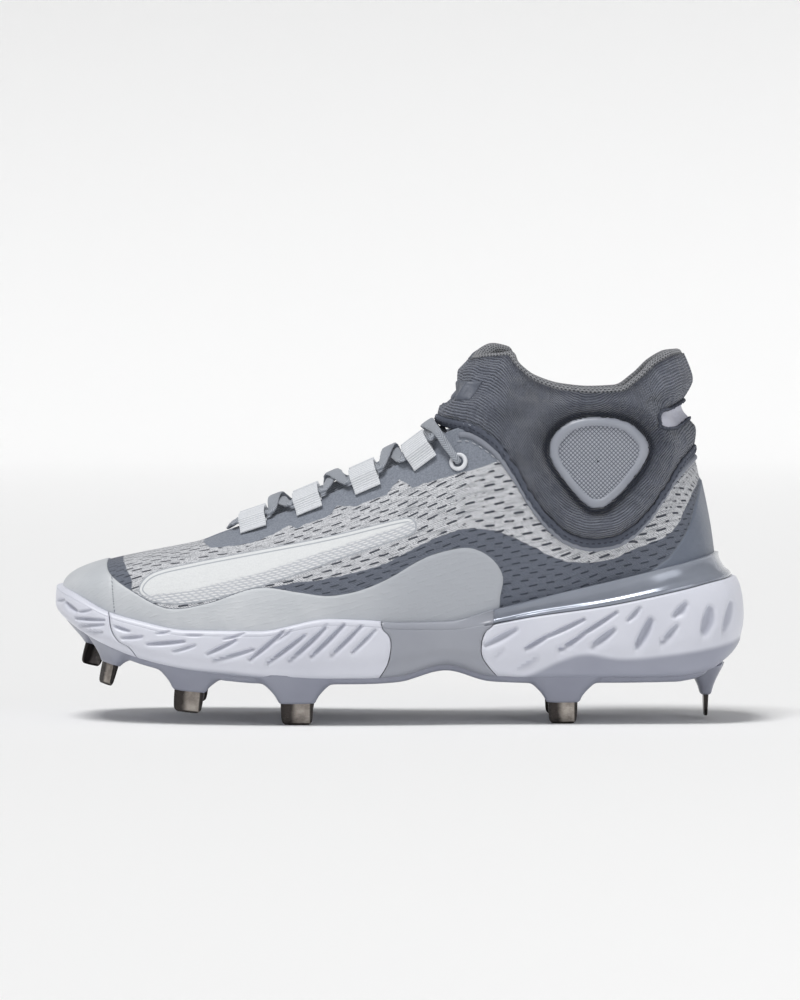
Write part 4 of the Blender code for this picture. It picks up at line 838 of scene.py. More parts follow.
seams = {
    "bumper": rounded(sideShares((
        (0.078, 0.320), (0.084, 0.292), (0.088, 0.250), (0.098, 0.220), (0.116, 0.199), (0.132, 0.150)))),
    "fore": rounded(sideShares((
        (0.474, 0.300), (0.476, 0.258), (0.486, 0.236), (0.4885, 0.208), (0.483, 0.160), (0.466, 0.110)))),
    "heel": rounded(sideShares((
        (0.6350, 0.330), (0.6350, 0.269), (0.6230, 0.245), (0.6175, 0.212), (0.6210, 0.172), (0.6480, 0.110)))),
    "clip": rounded(sideShares((
        (0.600, 0.258), (0.635, 0.2675), (0.700, 0.288), (0.800, 0.314), (0.900, 0.352), (0.960, 0.377),
        (1.060, 0.404)))),
}
# the outsole wraps up the foam's lower sides; the grey band there is partly its own colour, partly painted shade
wrapAndShadeZone = np.concatenate((rounded(sideMm((
    (-6.5, 31.6), (8.7, 30.7), (19.6, 28.1), (41.4, 25.5), (63.2, 24.2), (78, 23.3), (106.8, 20.3), (124.3, 19),
    (140, 19), (160, 15.5), (180.9, 16.5), (194, 19.8), (204, 20.9), (219.7, 28.1), (230.6, 30.7), (247.2, 28.6),
    (272.5, 31.2), (291.2, 34.7), (306, 39.5),
))), sideMm(((306, -4), (-7, -4)))))


def toPath(xz, path):
    # millimetres from an open side line
    best = np.full(len(xz), 1e9)
    for p, q in zip(path[:-1], path[1:]):
        d = q - p
        t = np.clip(((xz - p) @ d) / max(d @ d, 1e-12), 0, 1)
        best = np.minimum(best, np.linalg.norm(xz - p - t[:, None] * d, axis=1))
    return best * 1000


def carved(xz):
    # how deep the carving goes at each point, in metres
    deep = np.zeros(len(xz))
    for x0, z0, x1, z1, wide, depth in foreGrooves + heelGrooves:
        a, b = sideMm(((x0, z0), (x1, z1)))
        d = b - a
        size = np.linalg.norm(d)
        t = ((xz - a) @ d) / (d @ d)
        beyond = np.maximum(np.maximum(-t, t - 1), 0) * size * 1000
        above = ((xz - a) @ np.array((-d[1], d[0])) / size) * 1000
        taper = 0.6 + 0.4 * np.sin(np.pi * (0.12 + 0.76 * np.clip(t, 0, 1)))
        # steep on the upper flank, slow on the lower one
        reach = np.where(above > 0, 0.30, 0.85) * wide * taper
        far = np.sqrt((above / reach) ** 2 + (beyond / (0.45 * wide)) ** 2)
        deep = np.maximum(deep, depth * soleSizes["carve"] * taper * ease(far, 1.0, 0.05))
    return deep


def rowAtHeight(position, height):
    low, high = np.zeros_like(position), np.full_like(position, 0.6)
    for _ in range(24):
        half = (low + high) / 2
        below = upperPoint(position, half)[..., 2] < height
        low, high = np.where(below, half, low), np.where(below, high, half)
    return (low + high) / 2


def spine(along, name):
    held = np.clip(along, 0.14, 0.88)
    return place(held, middle("shift", held), sole(name, held))


def soleColumns():
    position = np.arange(soleSizes["columns"]) / soleSizes["columns"] * 2 - 1
    turn, inner = np.abs(position), position >= 0
    along = (1 - np.cos(np.pi * turn)) / 2
    half = np.where(inner, plan("soleIn", turn), -plan("soleOut", turn))
    wide = place(along, middle("shift", along) + half, 0)
    out = outward(position)
    under = (sole("underInset", along) * shoe["ballWidth"])[:, None]
    rimAlong = footAlong(turn)
    for _ in range(3):
        row = rowAtHeight(position, sole("rim", rimAlong) * shoe["cuffHeight"])
        lip = upperPoint(position, row)
        rimAlong = lip[:, 0] / shoe["length"] + 0.5
    rimInner = lip + out * 2 * shoe["gap"]
    rimOuter = rimInner + out * soleSizes["lip"]
    rim = lip[:, 2]
    ledge = wide * (0.55, 0.55, 0) + rimOuter * (0.45, 0.45, 0)
    step = np.minimum(sole("step", ledge[:, 0] / shoe["length"] + 0.5) * shoe["cuffHeight"], rim - 2 * shoe["gap"])
    ledge[:, 2] = step
    base = sole("base", along) * shoe["cuffHeight"]
    widest = base + (step - base) * 0.52
    rows = [spine(along, "base")]
    for angle in np.linspace(0, np.pi / 2, 14):
        point = wide - out * under * (1 - math.sin(angle))
        point[:, 2] = base + (widest - base) * (1 - math.cos(angle))
        rows.append(point)
    for angle in np.linspace(0, np.pi / 2, 36)[1:]:
        point = wide * math.cos(angle) + ledge * (1 - math.cos(angle))
        point[:, 2] = widest + (step - widest) * math.sin(angle)
        rows.append(point)
    hollow = soleSizes["hollow"] * np.clip((along - 0.62) / 0.08, -0.3, 1.0)
    for t in np.linspace(0, 1, 19)[1:]:
        point = ledge * (1 - t) + rimOuter * t
        ridge = 0.0007 * np.clip((along - 0.62) / 0.03, 0, 1) * hill(t, 0.16, 0.09)
        point = point - out * (hollow * (4 * t * (1 - t)) ** 0.8 - ridge)[:, None]
        point[:, 2] = step + (rim - step) * t
        rows.append(point)
    crest = (rimOuter + rimInner) / 2
    crest[:, 2] += 0.0003
    rows += [crest, rimInner]
    for share in (0.67, 0.33):
        rows.append(upperPoint(position, row * share) + out * 2 * shoe["gap"])
    edge = upperPoint(position, 0.0) + out * 2 * shoe["gap"]
    edge[:, 2] -= shoe["gap"]
    rows += [edge, spine(footAlong(turn), "bed")]
    grid = np.stack(rows, axis=1)
    side = slice(2, 67)
    xz = grid[:, side][..., [0, 2]].reshape(-1, 2)
    deep = carved(xz)
    for name in ("bumper", "fore", "heel"):
        deep = np.maximum(deep, soleSizes["seamDepth"] * ease(toPath(xz, seams[name]), soleSizes["seam"], 0.0))
    onClip = xz[:, 0] > seams["heel"][12][0]
    clipLine = onClip * soleSizes["seamDepth"] * 1.3
    deep = np.maximum(deep, clipLine * ease(toPath(xz, seams["clip"]), soleSizes["seam"], 0.0))
    # the outsole's own edge stands a little proud below the foam
    deep = deep - 0.0005 * ease(insideBy(xz, wrapAndShadeZone), -0.1, 0.5)
    grid[:, side] -= out[:, None] * deep.reshape(grid[:, side].shape[:2])[..., None]
    return grid


def foamMaterial():
    look, tree, shader = newLook("carvedFoam", roughness=0.42, coat=0.05)
    where = objectPoint(tree)
    cloud, fine = noise(where, 35, 3), noise(where, 900, 2)
    white = cloudy(cloud, srgb(222, 224, 234), srgb(214, 216, 227))
    grey = cloudy(cloud, srgb(164, 167, 181), srgb(155, 158, 173))
    # the lower band in grey: partly the outsole's colour, partly painted shade under the sole's side
    colour = blendColour(mask(fieldOf(tree, "wrapAndShade"), -1.2, 1.6), white, grey)
    # painted shade: deeper carving is darker
    colour = blendColour(times(mask(fieldOf(tree, "pit"), 0.5, 1.7), 0.45), colour, srgb(146, 150, 168))
    dress(shader, colour, relief(fine, 0.00006, 0.5), ramp(fine, 0.3, 0.7, 0.36, 0.5))
    return look


def plainLook(name, first, second, roughness, fineScale=900, bump=0.00006, metallic=0.0, coat=0.0):
    # two close tints in soft clouds, with a fine grain
    look, tree, shader = newLook(name, roughness=roughness, metallic=metallic, coat=coat)
    where = objectPoint(tree)
    fine = noise(where, fineScale, 2)
    shine = ramp(fine, 0.3, 0.7, roughness * 0.85, min(1.0, roughness * 1.15))
    dress(shader, cloudy(noise(where, 40, 3), first, second), relief(fine, bump, 0.6), shine)
    return look


foam = foamMaterial()
saddleLook = plainLook("greySaddle", srgb(162, 165, 174), srgb(154, 157, 167), 0.36, coat=0.1)
clipLook = plainLook(
    "silverClip", srgb(152, 158, 170), srgb(140, 146, 159), 0.22, metallic=0.35, coat=0.5, bump=0.00002)
soleGrid = soleColumns()
soleFaces = quads(soleGrid.shape[0], soleGrid.shape[1])
soleStart = makePiece("soleBody", soleGrid, soleFaces, foam, merge=1e-6)
lowZ, highZ = 0.0, place(0, 0, 0.6)[2]
leftX, rightX = place(-0.1, 0, 0)[0], place(1.1, 0, 0)[0]
slit = shoe["gap"] * 0.6
bumperSeam, foreSeam, heelSeam, clipSeam = (seams[n] for n in ("bumper", "fore", "heel", "clip"))
clipStart = float(np.interp(heelSeam[6][0], clipSeam[:, 0], clipSeam[:, 1]))
behind = heelSeam[heelSeam[:, 1] < clipStart]
clipTail = clipSeam[clipSeam[:, 0] > behind[0][0] + 0.002]
blocks = {
    "toeBumper": ("toe_bumper", foam, "foam", np.concatenate((
        [(leftX, highZ)], bumperSeam - (slit, 0), [(leftX, bumperSeam[-1][1])]))),
    "forefootFoam": ("forefoot_foam", foam, "foam", np.concatenate((
        (bumperSeam + (slit, 0))[::-1], [(bumperSeam[0][0] + slit, highZ), (foreSeam[0][0] - slit, highZ)],
        foreSeam - (slit, 0), [(foreSeam[-1][0] - slit, lowZ), (bumperSeam[-1][0] + slit, lowZ)]))),
    "midfootSaddle": ("midfoot_saddle", saddleLook, "saddle", np.concatenate((
        (foreSeam + (slit, 0))[::-1], [(foreSeam[0][0] + slit, highZ), (heelSeam[0][0] - slit, highZ)],
        heelSeam - (slit, 0), [(heelSeam[-1][0] - slit, lowZ), (foreSeam[-1][0] + slit, lowZ)]))),
    "heelFoam": ("heel_foam", foam, "foam", np.concatenate((
        (behind + (slit, 0))[::-1], clipTail - (0, slit), [(rightX, lowZ), (heelSeam[-1][0] + slit, lowZ)]))),
    "heelClip": ("heel_clip", clipLook, "clip", np.concatenate((
        [(heelSeam[0][0] + slit, highZ), (behind[0][0] + slit, clipStart + slit)], clipTail + (0, slit),
        [(rightX, highZ)]))),
}


def cutBlock(name, outline, look):
    # one block of the sole: the whole body within a side outline
    count, wide = len(outline), shoe["ballWidth"]
    points = [(p[0], y, p[1]) for y in (-wide, wide) for p in outline]
    faces = [list(range(count)), list(range(2 * count - 1, count - 1, -1))]
    faces += [[k, k + count, (k + 1) % count + count, (k + 1) % count] for k in range(count)]
    tool = makePiece("cutter", points, faces, look, merge=1e-7)
    block = soleStart.copy()
    block.data = soleStart.data.copy()
    block.name = block.data.name = name
    scene.collection.objects.link(block)
    change = block.modifiers.new("cut", "BOOLEAN")
    change.object, change.operation, change.solver = tool, "INTERSECT", "EXACT"
    made = settled(block)
    made.name = name
    bpy.data.objects.remove(tool)
    made.materials.clear()
    made.materials.append(look)
    made.polygons.foreach_set("material_index", np.zeros(len(made.polygons), int))
    made.shade_smooth()
    made.set_sharp_from_angle(angle=math.radians(50))
    return block


for name, (node, look, slotName, outline) in blocks.items():
    block = cutBlock(name, outline, look)
    spots = meshPoints(block)[:, [0, 2]]
    addField(block, "wrapAndShade", insideBy(spots, wrapAndShadeZone))
    addField(block, "pit", carved(spots) * 1000)
    finished(block, slotName, node)
    print("  ", name, len(block.data.polygons), "faces")
bpy.data.objects.remove(soleStart)

print("cuff: padded ring")
cuff = {
    "columns": 600, "rows": 96, "innerRows": 14, "wall": 0.008, "puff": 0.003, "heelDip": 0.0068, "frontDip": 0.0065,
    "channel": 0.0021, "swell": 0.0027, "rib": 0.0013, "lean": 0.0020, "most": 0.0016, "pucker": 0.00022,
}
badgeShape = rounded(sideShares((
    (0.783, 0.806), (0.826, 0.792), (0.853, 0.745), (0.852, 0.700), (0.826, 0.632), (0.798, 0.582),
    (0.783, 0.571), (0.766, 0.582), (0.738, 0.640), (0.717, 0.702), (0.719, 0.752), (0.744, 0.794),
)), parts=12, closed=True)


def cuffSeam(sign):
    part = np.linspace(0, 5 / 6, 40)
    along = cuffFront("along", part)
    front = place(along, middle("shift", along) * 0.8 + sign * cuffFront("half", part), cuffFront("height", part))
    return np.concatenate((front, topLine(sign * np.linspace(cornerTurn, 1, 200))))


def bothWays(pair):
    # one ring from two sides that run from the front's middle to the heel's
    return np.concatenate((pair[0], pair[1][-2:0:-1]))


def evenNormals(grid):
    # the normals of a ring, evened along it, so that places pushed inward never cross
    normal = gridNormals(grid)
    for _ in range((grid.shape[0] // 60) ** 2):
        normal = (np.roll(normal, 1, 0) + 2 * normal + np.roll(normal, -1, 0)) / 4
    return unit(normal)


def cuffFace(columns, rows):
    share = np.linspace(0, 1, columns // 2 + 1)
    starts, ends = [], []
    for sign in (1, -1):
        seam = cuffSeam(sign)
        run = np.linalg.norm(np.diff(seam, axis=0) * (1, 1, 0.25), axis=1).cumsum()
        run = np.concatenate(([0.0], run / run[-1]))
        starts.append(np.stack([np.interp(share, run, seam[:, k]) for k in range(3)], axis=1))
        along = cuffTop("along", share)
        top = place(along, middle("shift", along) * 0.8 + sign * cuffTop("half", share), cuffTop("height", share))
        # the edge of the inner side stands a little higher in front
        top[:, 2] += sign * cuff["lean"] * hill(share, 0.16, 0.09) * ease(share, 0.0, 0.06)
        ends.append(top)
    start, end = bothWays(starts) + (0, 0, 2 * shoe["gap"]), bothWays(ends)
    lift = ((end - start) * (0, 0, 0.33))[:, None]
    start, end = start[:, None], end[:, None]
    t = np.linspace(0, 1, rows + 1)[None, :, None]
    s = 1 - t
    grid = s ** 3 * start + 3 * s * s * t * (start + lift) + 3 * s * t * t * (end - lift) + t ** 3 * end
    share = bothWays((share, share))[:, None]
    t = t[..., 0]
    heel = ease(share, 0.79, 0.88) * (0.6 + 0.4 * np.clip((share - 0.8) / 0.2, 0, 1))
    front = np.clip(2 - share / 0.08, 0, 1)
    dip = cuff["heelDip"] * heel * hill(t, 0.44, 0.17)
    dip = dip + cuff["frontDip"] * front * hill(t, 0.42, 0.20)
    puff = cuff["puff"] * (1 - np.abs(2 * t - 1) ** 2.5)
    return grid, grid + evenNormals(grid) * (puff - dip)[..., None], np.broadcast_to(share, dip.shape), heel + front


def puffedUp(columns=216, rows=26, inside=5):
    # the padding swells between its seams: a coarse copy as cloth, held where it is sewn
    grid, face, share, dented = cuffFace(columns, rows)
    lining = (grid - evenNormals(face) * cuff["wall"])[:, np.linspace(rows, 0, inside).astype(int)]
    ring = np.concatenate((face, lining), axis=1)
    beside = -insideBy(face.reshape(-1, 3)[:, [0, 2]], badgeShape).reshape(face.shape[:2])
    held = np.ones(ring.shape[:2])
    level = np.linspace(0, 1, rows + 1)[None]
    free = ease(level, 0.02, 0.10) * ease(level, 0.98, 0.90) * ease(beside, 2.5, 6.0)
    free = free * (1 - ease(dented, 0.1, 0.6) * hill(level, 0.43, 0.20))
    held[:, : rows + 1] = 1 - free
    padding = makePiece("padding", ring, quads(columns, ring.shape[1], True, True), [])
    group = padding.vertex_groups.new(name="held")
    for k, weight in enumerate(held.ravel()):
        group.add([k], float(weight), "REPLACE")
    change = padding.modifiers.new("swell", "CLOTH")
    change.settings.quality = 6
    change.settings.mass = 0.2
    change.settings.tension_stiffness = change.settings.compression_stiffness = 12
    change.settings.shear_stiffness = 4
    change.settings.bending_stiffness = 0.4
    change.settings.shrink_min = -0.03
    change.settings.use_pressure = True
    change.settings.uniform_pressure_force = 4
    change.settings.effector_weights.gravity = 0
    change.settings.vertex_group_mass = "held"
    change.collision_settings.use_collision = False
    change.collision_settings.use_self_collision = False
    change.point_cache.frame_start, change.point_cache.frame_end = 1, 20
    for frameNumber in range(1, 21):
        scene.frame_set(frameNumber)
    seen = padding.evaluated_get(bpy.context.evaluated_depsgraph_get())
    moved = np.empty(len(seen.data.vertices) * 3)
    seen.data.vertices.foreach_get("co", moved)
    bpy.data.objects.remove(padding)
    scene.frame_set(1)
    moved = (moved.reshape(ring.shape) - ring)[:, : rows + 1]
    size = np.linalg.norm(moved, axis=-1, keepdims=True)
    print("  swell by cloth: %.2f mm at most" % (size.max() * 1000))
    return moved * np.minimum(1, cuff["most"] / np.maximum(size, 1e-9))


def spread(coarse, columns, rows):
    # a coarse ring of moves read at every place of a finer ring
    c = np.arange(columns) / columns * coarse.shape[0]
    r = np.linspace(0, coarse.shape[1] - 1, rows)
    c0, r0 = np.floor(c).astype(int), np.minimum(np.floor(r).astype(int), coarse.shape[1] - 2)
    u, v = (c - c0)[:, None, None], (r - r0)[None, :, None]
    u, v = u * u * (3 - 2 * u), v * v * (3 - 2 * v)
    c1 = (c0 + 1) % coarse.shape[0]
    pick = lambda a, b: coarse[a[:, None], b[None]]
    low = pick(c0, r0) * (1 - u) + pick(c1, r0) * u
    return low * (1 - v) + (pick(c0, r0 + 1) * (1 - u) + pick(c1, r0 + 1) * u) * v


cuffGrid, cuffOuter, cuffShare, cuffDent = cuffFace(cuff["columns"], cuff["rows"])
cuffNormal = evenNormals(cuffOuter)
cuffOuter = cuffOuter + spread(puffedUp(), cuff["columns"], cuff["rows"] + 1)
beside = -insideBy(cuffOuter.reshape(-1, 3)[:, [0, 2]], badgeShape).reshape(cuffOuter.shape[:2])
sculpt = cuff["swell"] * hill(beside, 8.5, 4.5) - cuff["channel"] * hill(beside, 1.9, 1.9)
sculpt = np.where(beside < 0, -0.0004, sculpt)
level = np.linspace(0, 1, cuff["rows"] + 1)[None]
sweep = cuffShare * 60
pucker = np.sin(sweep * 3.1 + 2 * np.sin(sweep)) * hill(level, 0, 0.10)
pucker = pucker + np.sin(sweep * 2.3 + 1.5 * np.sin(sweep * 0.7)) * hill(level, 1, 0.12)
pucker = pucker + 0.7 * np.sin(sweep * 1.9 + 9 * level) * cuffDent * hill(level, 0.44, 0.24)
sculpt = sculpt + cuff["pucker"] * pucker * ease(level, 0.0, 0.03) * ease(level, 1.0, 0.97)
cuffOuter = cuffOuter + cuffNormal * sculpt[..., None]
cuffInner = cuffGrid - cuffNormal * cuff["wall"]
cuffNormal = gridNormals(cuffOuter)
cuffInner[:, 0] += (cuffInner[:, 1] - cuffInner[:, 0]) * 0.15
pickRows = np.linspace(cuff["rows"], 0, cuff["innerRows"]).astype(int)
cuffRing = np.concatenate((cuffOuter, cuffInner[:, pickRows]), axis=1)
ribUp = np.linalg.norm(np.diff(cuffOuter, axis=1, prepend=cuffOuter[:, :1]), axis=2).cumsum(axis=1)


def cuffMaterial():
    look, tree, shader = newLook("ribbedPadding", roughness=0.9, sheen=0.25)
    shader.inputs["Sheen Roughness"].default_value = 0.4
    where = objectPoint(tree)
    shift = times(noise(where, 110, 2), 0.0007)
    ridge = sums("SINE", times(plus(fieldOf(tree, "ribUp"), shift), 2 * math.pi / cuff["rib"]))
    broken = ramp(noise(where, 190, 1), 0.35, 0.6, 0.45, 1.0)
    ridge = times(ramp(ridge, -1, 1), broken)
    fibre = noise(where, 1500, 2)
    colour = cloudy(noise(where, 60, 3), srgb(138, 143, 156), srgb(120, 125, 139))
    # painted shade: the rib valleys darker
    colour = blendColour(times(minus(1.0, ridge), 0.80), colour, srgb(50, 54, 66))
    colour = blendColour(ramp(fibre, 0.35, 0.7, 0.0, 0.25), colour, srgb(150, 154, 164))
    # painted shade along the top and bottom seams and round the badge
    colour = blendColour(times(fieldOf(tree, "valleyShade"), 0.62), colour, srgb(46, 50, 62))
    beside = fieldOf(tree, "beside")
    # painted shade in the sewn channel round the badge
    channelShade = times(mask(beside, 0.2, 0.9), mask(beside, 3.6, 2.9))
    colour = blendColour(times(channelShade, 0.75), colour, srgb(52, 56, 68))
    dress(shader, colour, relief(plus(ridge, times(fibre, 0.35)), 0.0007, 1.0))
    return look


cuffLook = cuffMaterial()
cuffFaces = quads(cuff["columns"], cuffRing.shape[1], True, True)
cuffPiece = makePiece("cuffPadding", cuffRing, cuffFaces, [cuffLook, liningLook])
faceRows = np.tile(np.arange(cuffRing.shape[1]), cuff["columns"])
cuffPiece.data.polygons.foreach_set("material_index", (faceRows >= cuff["rows"]).astype(int))


def onRing(values, fill=0.0):
    whole = np.full(cuffRing.shape[:2], fill)
    whole[:, : cuff["rows"] + 1] = values
    return whole.ravel()


addField(cuffPiece, "ribUp", onRing(ribUp))
# painted shade: darker towards the top and bottom seams and next to the badge
edges = ease(level, 0.0, 0.13) * ease(level, 1.0, 0.92)
addField(cuffPiece, "valleyShade", onRing(1 - edges * (1 - 0.9 * hill(np.maximum(beside, 2), 2, 5.0))))
addField(cuffPiece, "beside", onRing(beside, 30.0))
finished(cuffPiece, "cuff_padding", "cuff")


def threadTree():
    # short stitches along a path
    made = bpy.data.node_groups.new("stitchRun", "GeometryNodeTree")
    face = made.interface
    face.new_socket("Geometry", in_out="INPUT", socket_type="NodeSocketGeometry")
    for name, value in (("Pitch", 0.003), ("Stitch Length", 0.002), ("Stitch Radius", 0.0003)):
        face.new_socket(name, in_out="INPUT", socket_type="NodeSocketFloat").default_value = value
    face.new_socket("Thread", in_out="INPUT", socket_type="NodeSocketMaterial")
    face.new_socket("Geometry", in_out="OUTPUT", socket_type="NodeSocketGeometry")
    inputs = put(made, "NodeGroupInput").outputs
    path = put(made, "GeometryNodeMeshToCurve", {0: inputs["Geometry"]}).outputs[0]
    path = put(made, "GeometryNodeResampleCurve", {"Curve": path, "Length": inputs["Pitch"]}, mode="LENGTH").outputs[0]
    bead = put(made, "GeometryNodeMeshUVSphere", {"Segments": 8, "Rings": 6, "Radius": 1.0}).outputs["Mesh"]
    half = times(inputs["Stitch Length"], 0.5)
    thin = inputs["Stitch Radius"]
    size = put(made, "ShaderNodeCombineXYZ", {0: half, 1: thin, 2: thin}).outputs[0]
    way = put(made, "GeometryNodeInputTangent").outputs[0]
    turned = put(made, "FunctionNodeAlignRotationToVector", {"Vector": way}, axis="X").outputs[0]
    placed = put(
        made, "GeometryNodeInstanceOnPoints", {"Points": path, "Instance": bead, "Rotation": turned, "Scale": size}
    ).outputs[0]
    whole = put(made, "GeometryNodeRealizeInstances", {0: placed}).outputs[0]
    whole = put(made, "GeometryNodeSetShadeSmooth", {0: whole}).outputs[0]
    whole = put(made, "GeometryNodeSetMaterial", {"Geometry": whole, "Material": inputs["Thread"]}).outputs[0]
    made.links.new(whole, put(made, "NodeGroupOutput").inputs[0])
    return made


stitchRun = threadTree()


def threadRun(name, path, closed, look, slotName, pitch=0.0030, length=0.0021, radius=0.00028):
    count = len(path)
    mesh = bpy.data.meshes.new(name)
    edges = [(k, (k + 1) % count) for k in range(count if closed else count - 1)]
    mesh.from_pydata(np.asarray(path).tolist(), edges, [])
    piece = bpy.data.objects.new(name, mesh)
    scene.collection.objects.link(piece)
    change = piece.modifiers.new("stitches", "NODES")
    change.node_group = stitchRun
    sizes = {"Pitch": pitch, "Stitch Length": length, "Stitch Radius": radius, "Thread": look}
    for socket in stitchRun.interface.items_tree:
        if socket.in_out == "INPUT" and socket.name in sizes:
            change[socket.identifier] = sizes[socket.name]
    settled(piece)
    return finished(piece, slotName)


threadLook = plainLook("paleThread", srgb(186, 189, 196), srgb(170, 174, 182), 0.8, fineScale=1800, bump=0.0001)
darkThread = plainLook("darkThread", srgb(66, 70, 82), srgb(54, 58, 70), 0.85, fineScale=1800, bump=0.0001)
tapeLook = plainLook("seamTape", srgb(88, 93, 106), srgb(76, 81, 94), 0.85, fineScale=1400, bump=0.0002)
cuffTree = BVHTree.FromPolygons(
    cuffOuter.reshape(-1, 3).tolist(), quads(cuff["columns"], cuff["rows"] + 1).tolist())


def onCuff(xz, side, lift=0.0):
    # places on the cuff's face seen from the side, with their normals
    spots, normals = [], []
    for x, z in xz:
        hit, normal, _, _ = cuffTree.ray_cast((x, side * 0.2, z), (0, -side, 0))
        normal = np.array(normal) * (1 if normal[1] * side > 0 else -1)
        spots.append(np.array(hit) + normal * lift)
        normals.append(normal)
    return np.array(spots), np.array(normals)


def badgeMaterial():
    # a diagonal mesh inside a plain rim
    look, tree, shader = newLook("ankleBadge", roughness=0.5, coat=0.1)
    part = put(tree, "ShaderNodeSeparateXYZ", {0: objectPoint(tree, turn=(0, math.radians(45), 0))})
    threads = [absolute(sums("SINE", times(part.outputs[k], math.pi / 0.0013))) for k in (0, 2)]
    meshHeight = sums("MINIMUM", *threads)
    rimOn = mask(fieldOf(tree, "rim"), 0.80, 0.83)
    inside = blendColour(ramp(meshHeight, 0.1, 0.6), srgb(88, 92, 104), srgb(172, 176, 186))
    rimColour = cloudy(noise(objectPoint(tree), 70, 3), srgb(160, 164, 174), srgb(148, 152, 163))
    height = times(meshHeight, minus(1.0, rimOn))
    dress(shader, blendColour(rimOn, inside, rimColour), relief(height, 0.0004, 0.8), ramp(rimOn, 0, 1, 0.75, 0.38))
    return look


badgeLook = badgeMaterial()
badge = {"field": 0.0008, "rim": 0.0021, "rimFrom": 0.81, "seat": 0.0002}
centre = badgeShape.mean(axis=0)
for name, side in (("out", -1), ("in", 1)):
    shares = np.concatenate((np.linspace(0.02, 0.80, 22), np.linspace(badge["rimFrom"], 1.0, 17)))
    rows = []
    for share in shares:
        t = np.clip((share - badge["rimFrom"]) / (1 - badge["rimFrom"]), 0, 1)
        high = badge["field"] * (1 - t) + badge["seat"] * t
        bulge = math.sqrt(max(0.0, 1 - (2 * t - 1) ** 2)) * (share >= badge["rimFrom"])
        high += (badge["rim"] - badge["field"]) * bulge
        spots, _ = onCuff(centre + (badgeShape - centre) * share, side, high)
        rows.append(spots)
    for share in (0.97, 0.5, 0.02):
        rows.append(onCuff(centre + (badgeShape - centre) * share, side, badge["seat"] * 0.5)[0])
    grid = np.stack(rows, axis=1)
    faces = quads(len(badgeShape), grid.shape[1], True, True)
    piece = makePiece("ankleBadge" + name.title(), grid, faces, badgeLook, merge=1e-7)
    field = np.full((len(badgeShape), grid.shape[1]), 1.0)
    field[:, : len(shares)] = shares[None]
    if len(piece.data.vertices) == grid.shape[0] * grid.shape[1]:
        addField(piece, "rim", field.ravel())
    finished(piece, "disc", "ankle_disc_" + name)
    away = centre + (badgeShape - centre) * 1.105
    seamSpots = onCuff(away[::2], side, 0.0002)[0]
    threadRun("badgeStitches" + name.title(), seamSpots, True, darkThread, "disc", 0.0024, 0.0018)


def atCuff(column, row):
    # a place on the cuff's face by its column and row, both as real numbers
    column = np.asarray(column, float) % cuff["columns"]
    c, r = np.floor(column).astype(int), np.minimum(np.floor(row).astype(int), cuff["rows"] - 1)
    u, v = (column - c)[..., None], (row - r)[..., None]
    n = (c + 1) % cuff["columns"]
    low = cuffOuter[c, r] * (1 - u) + cuffOuter[n, r] * u
    return low * (1 - v) + (cuffOuter[c, r + 1] * (1 - u) + cuffOuter[n, r + 1] * u) * v


def cuffPanel(name, columns, lowLine, highLine, look, slotName, node, thick, soft):
    # a thin raised panel over some columns, between two height lines
    rows, lows, highs = 22, [], []
    for column in columns:
        c = int(round(column)) % cuff["columns"]
        heights, x = cuffOuter[c, :, 2], cuffOuter[c, cuff["rows"] // 2, 0]
        lows.append(np.interp(lowLine(x), heights, np.arange(cuff["rows"] + 1)))
        highs.append(np.interp(highLine(x), heights, np.arange(cuff["rows"] + 1)))
    share = np.linspace(0, 1, rows + 1)[None]
    row = np.array(lows)[:, None] * (1 - share) + np.array(highs)[:, None] * share
    column = np.repeat(np.asarray(columns, float)[:, None], rows + 1, axis=1)
    base = atCuff(column, row)
    normal = gridNormals(base, closed=False)
    if (normal * cuffNormal[np.asarray(columns).astype(int) % cuff["columns"], cuff["rows"] // 2][:, None]).sum() < 0:
        normal = -normal
    edge = np.minimum(np.minimum(share, 1 - share) * (rows / 3.0), 1)
    ends = np.minimum(np.arange(len(columns)), np.arange(len(columns))[::-1])[:, None] / soft
    rise = thick * np.sqrt(np.clip(np.minimum(edge, np.minimum(ends, 1)), 0, 1))
    top = base + normal * (0.0002 + rise)[..., None]
    piece = makeSlab(name, top, base - normal * 0.0003, look)
    finished(piece, slotName, node)
    return base, normal


def makeSlab(name, outerGrid, innerGrid, look, sharp=None):
    columns, rows = outerGrid.shape[:2]
    ring = np.concatenate((outerGrid, innerGrid[:, ::-1]), axis=1)
    faces = quads(columns, 2 * rows, False, True).tolist()
    for c in (0, columns - 1):
        first = c * 2 * rows
        faces += capFaces(first, 2 * rows)
    return makePiece(name, ring, faces, look, merge=1e-7, sharp=sharp)


patchLook = plainLook("heelPatch", srgb(198, 199, 212), srgb(186, 188, 202), 0.55, fineScale=1300, bump=0.0002)
labelLook = plainLook("bareLabel", srgb(98, 103, 115), srgb(90, 95, 107), 0.5, fineScale=1300, bump=0.0002)
spread60 = cuff["columns"] // 2
slot = {"end": 0.1125, "half": 0.0044, "round": 0.005}
heelColumns = [c for c in range(spread60 - 100, spread60 + 101) if cuffOuter[c, 40, 0] > slot["end"]]


def slotLine(way):
    # the slot's lower or upper edge by the place along the shoe
    def read(x):
        centre = np.interp(x, [0.1125, 0.127, 0.140], [0.1290, 0.1372, 0.1385])
        near = 1 - min(max(x - slot["end"], 0.0) / slot["round"], 1.0)
        return centre + way * slot["half"] * math.sqrt(max(1 - near * near, 0.002))

    return read


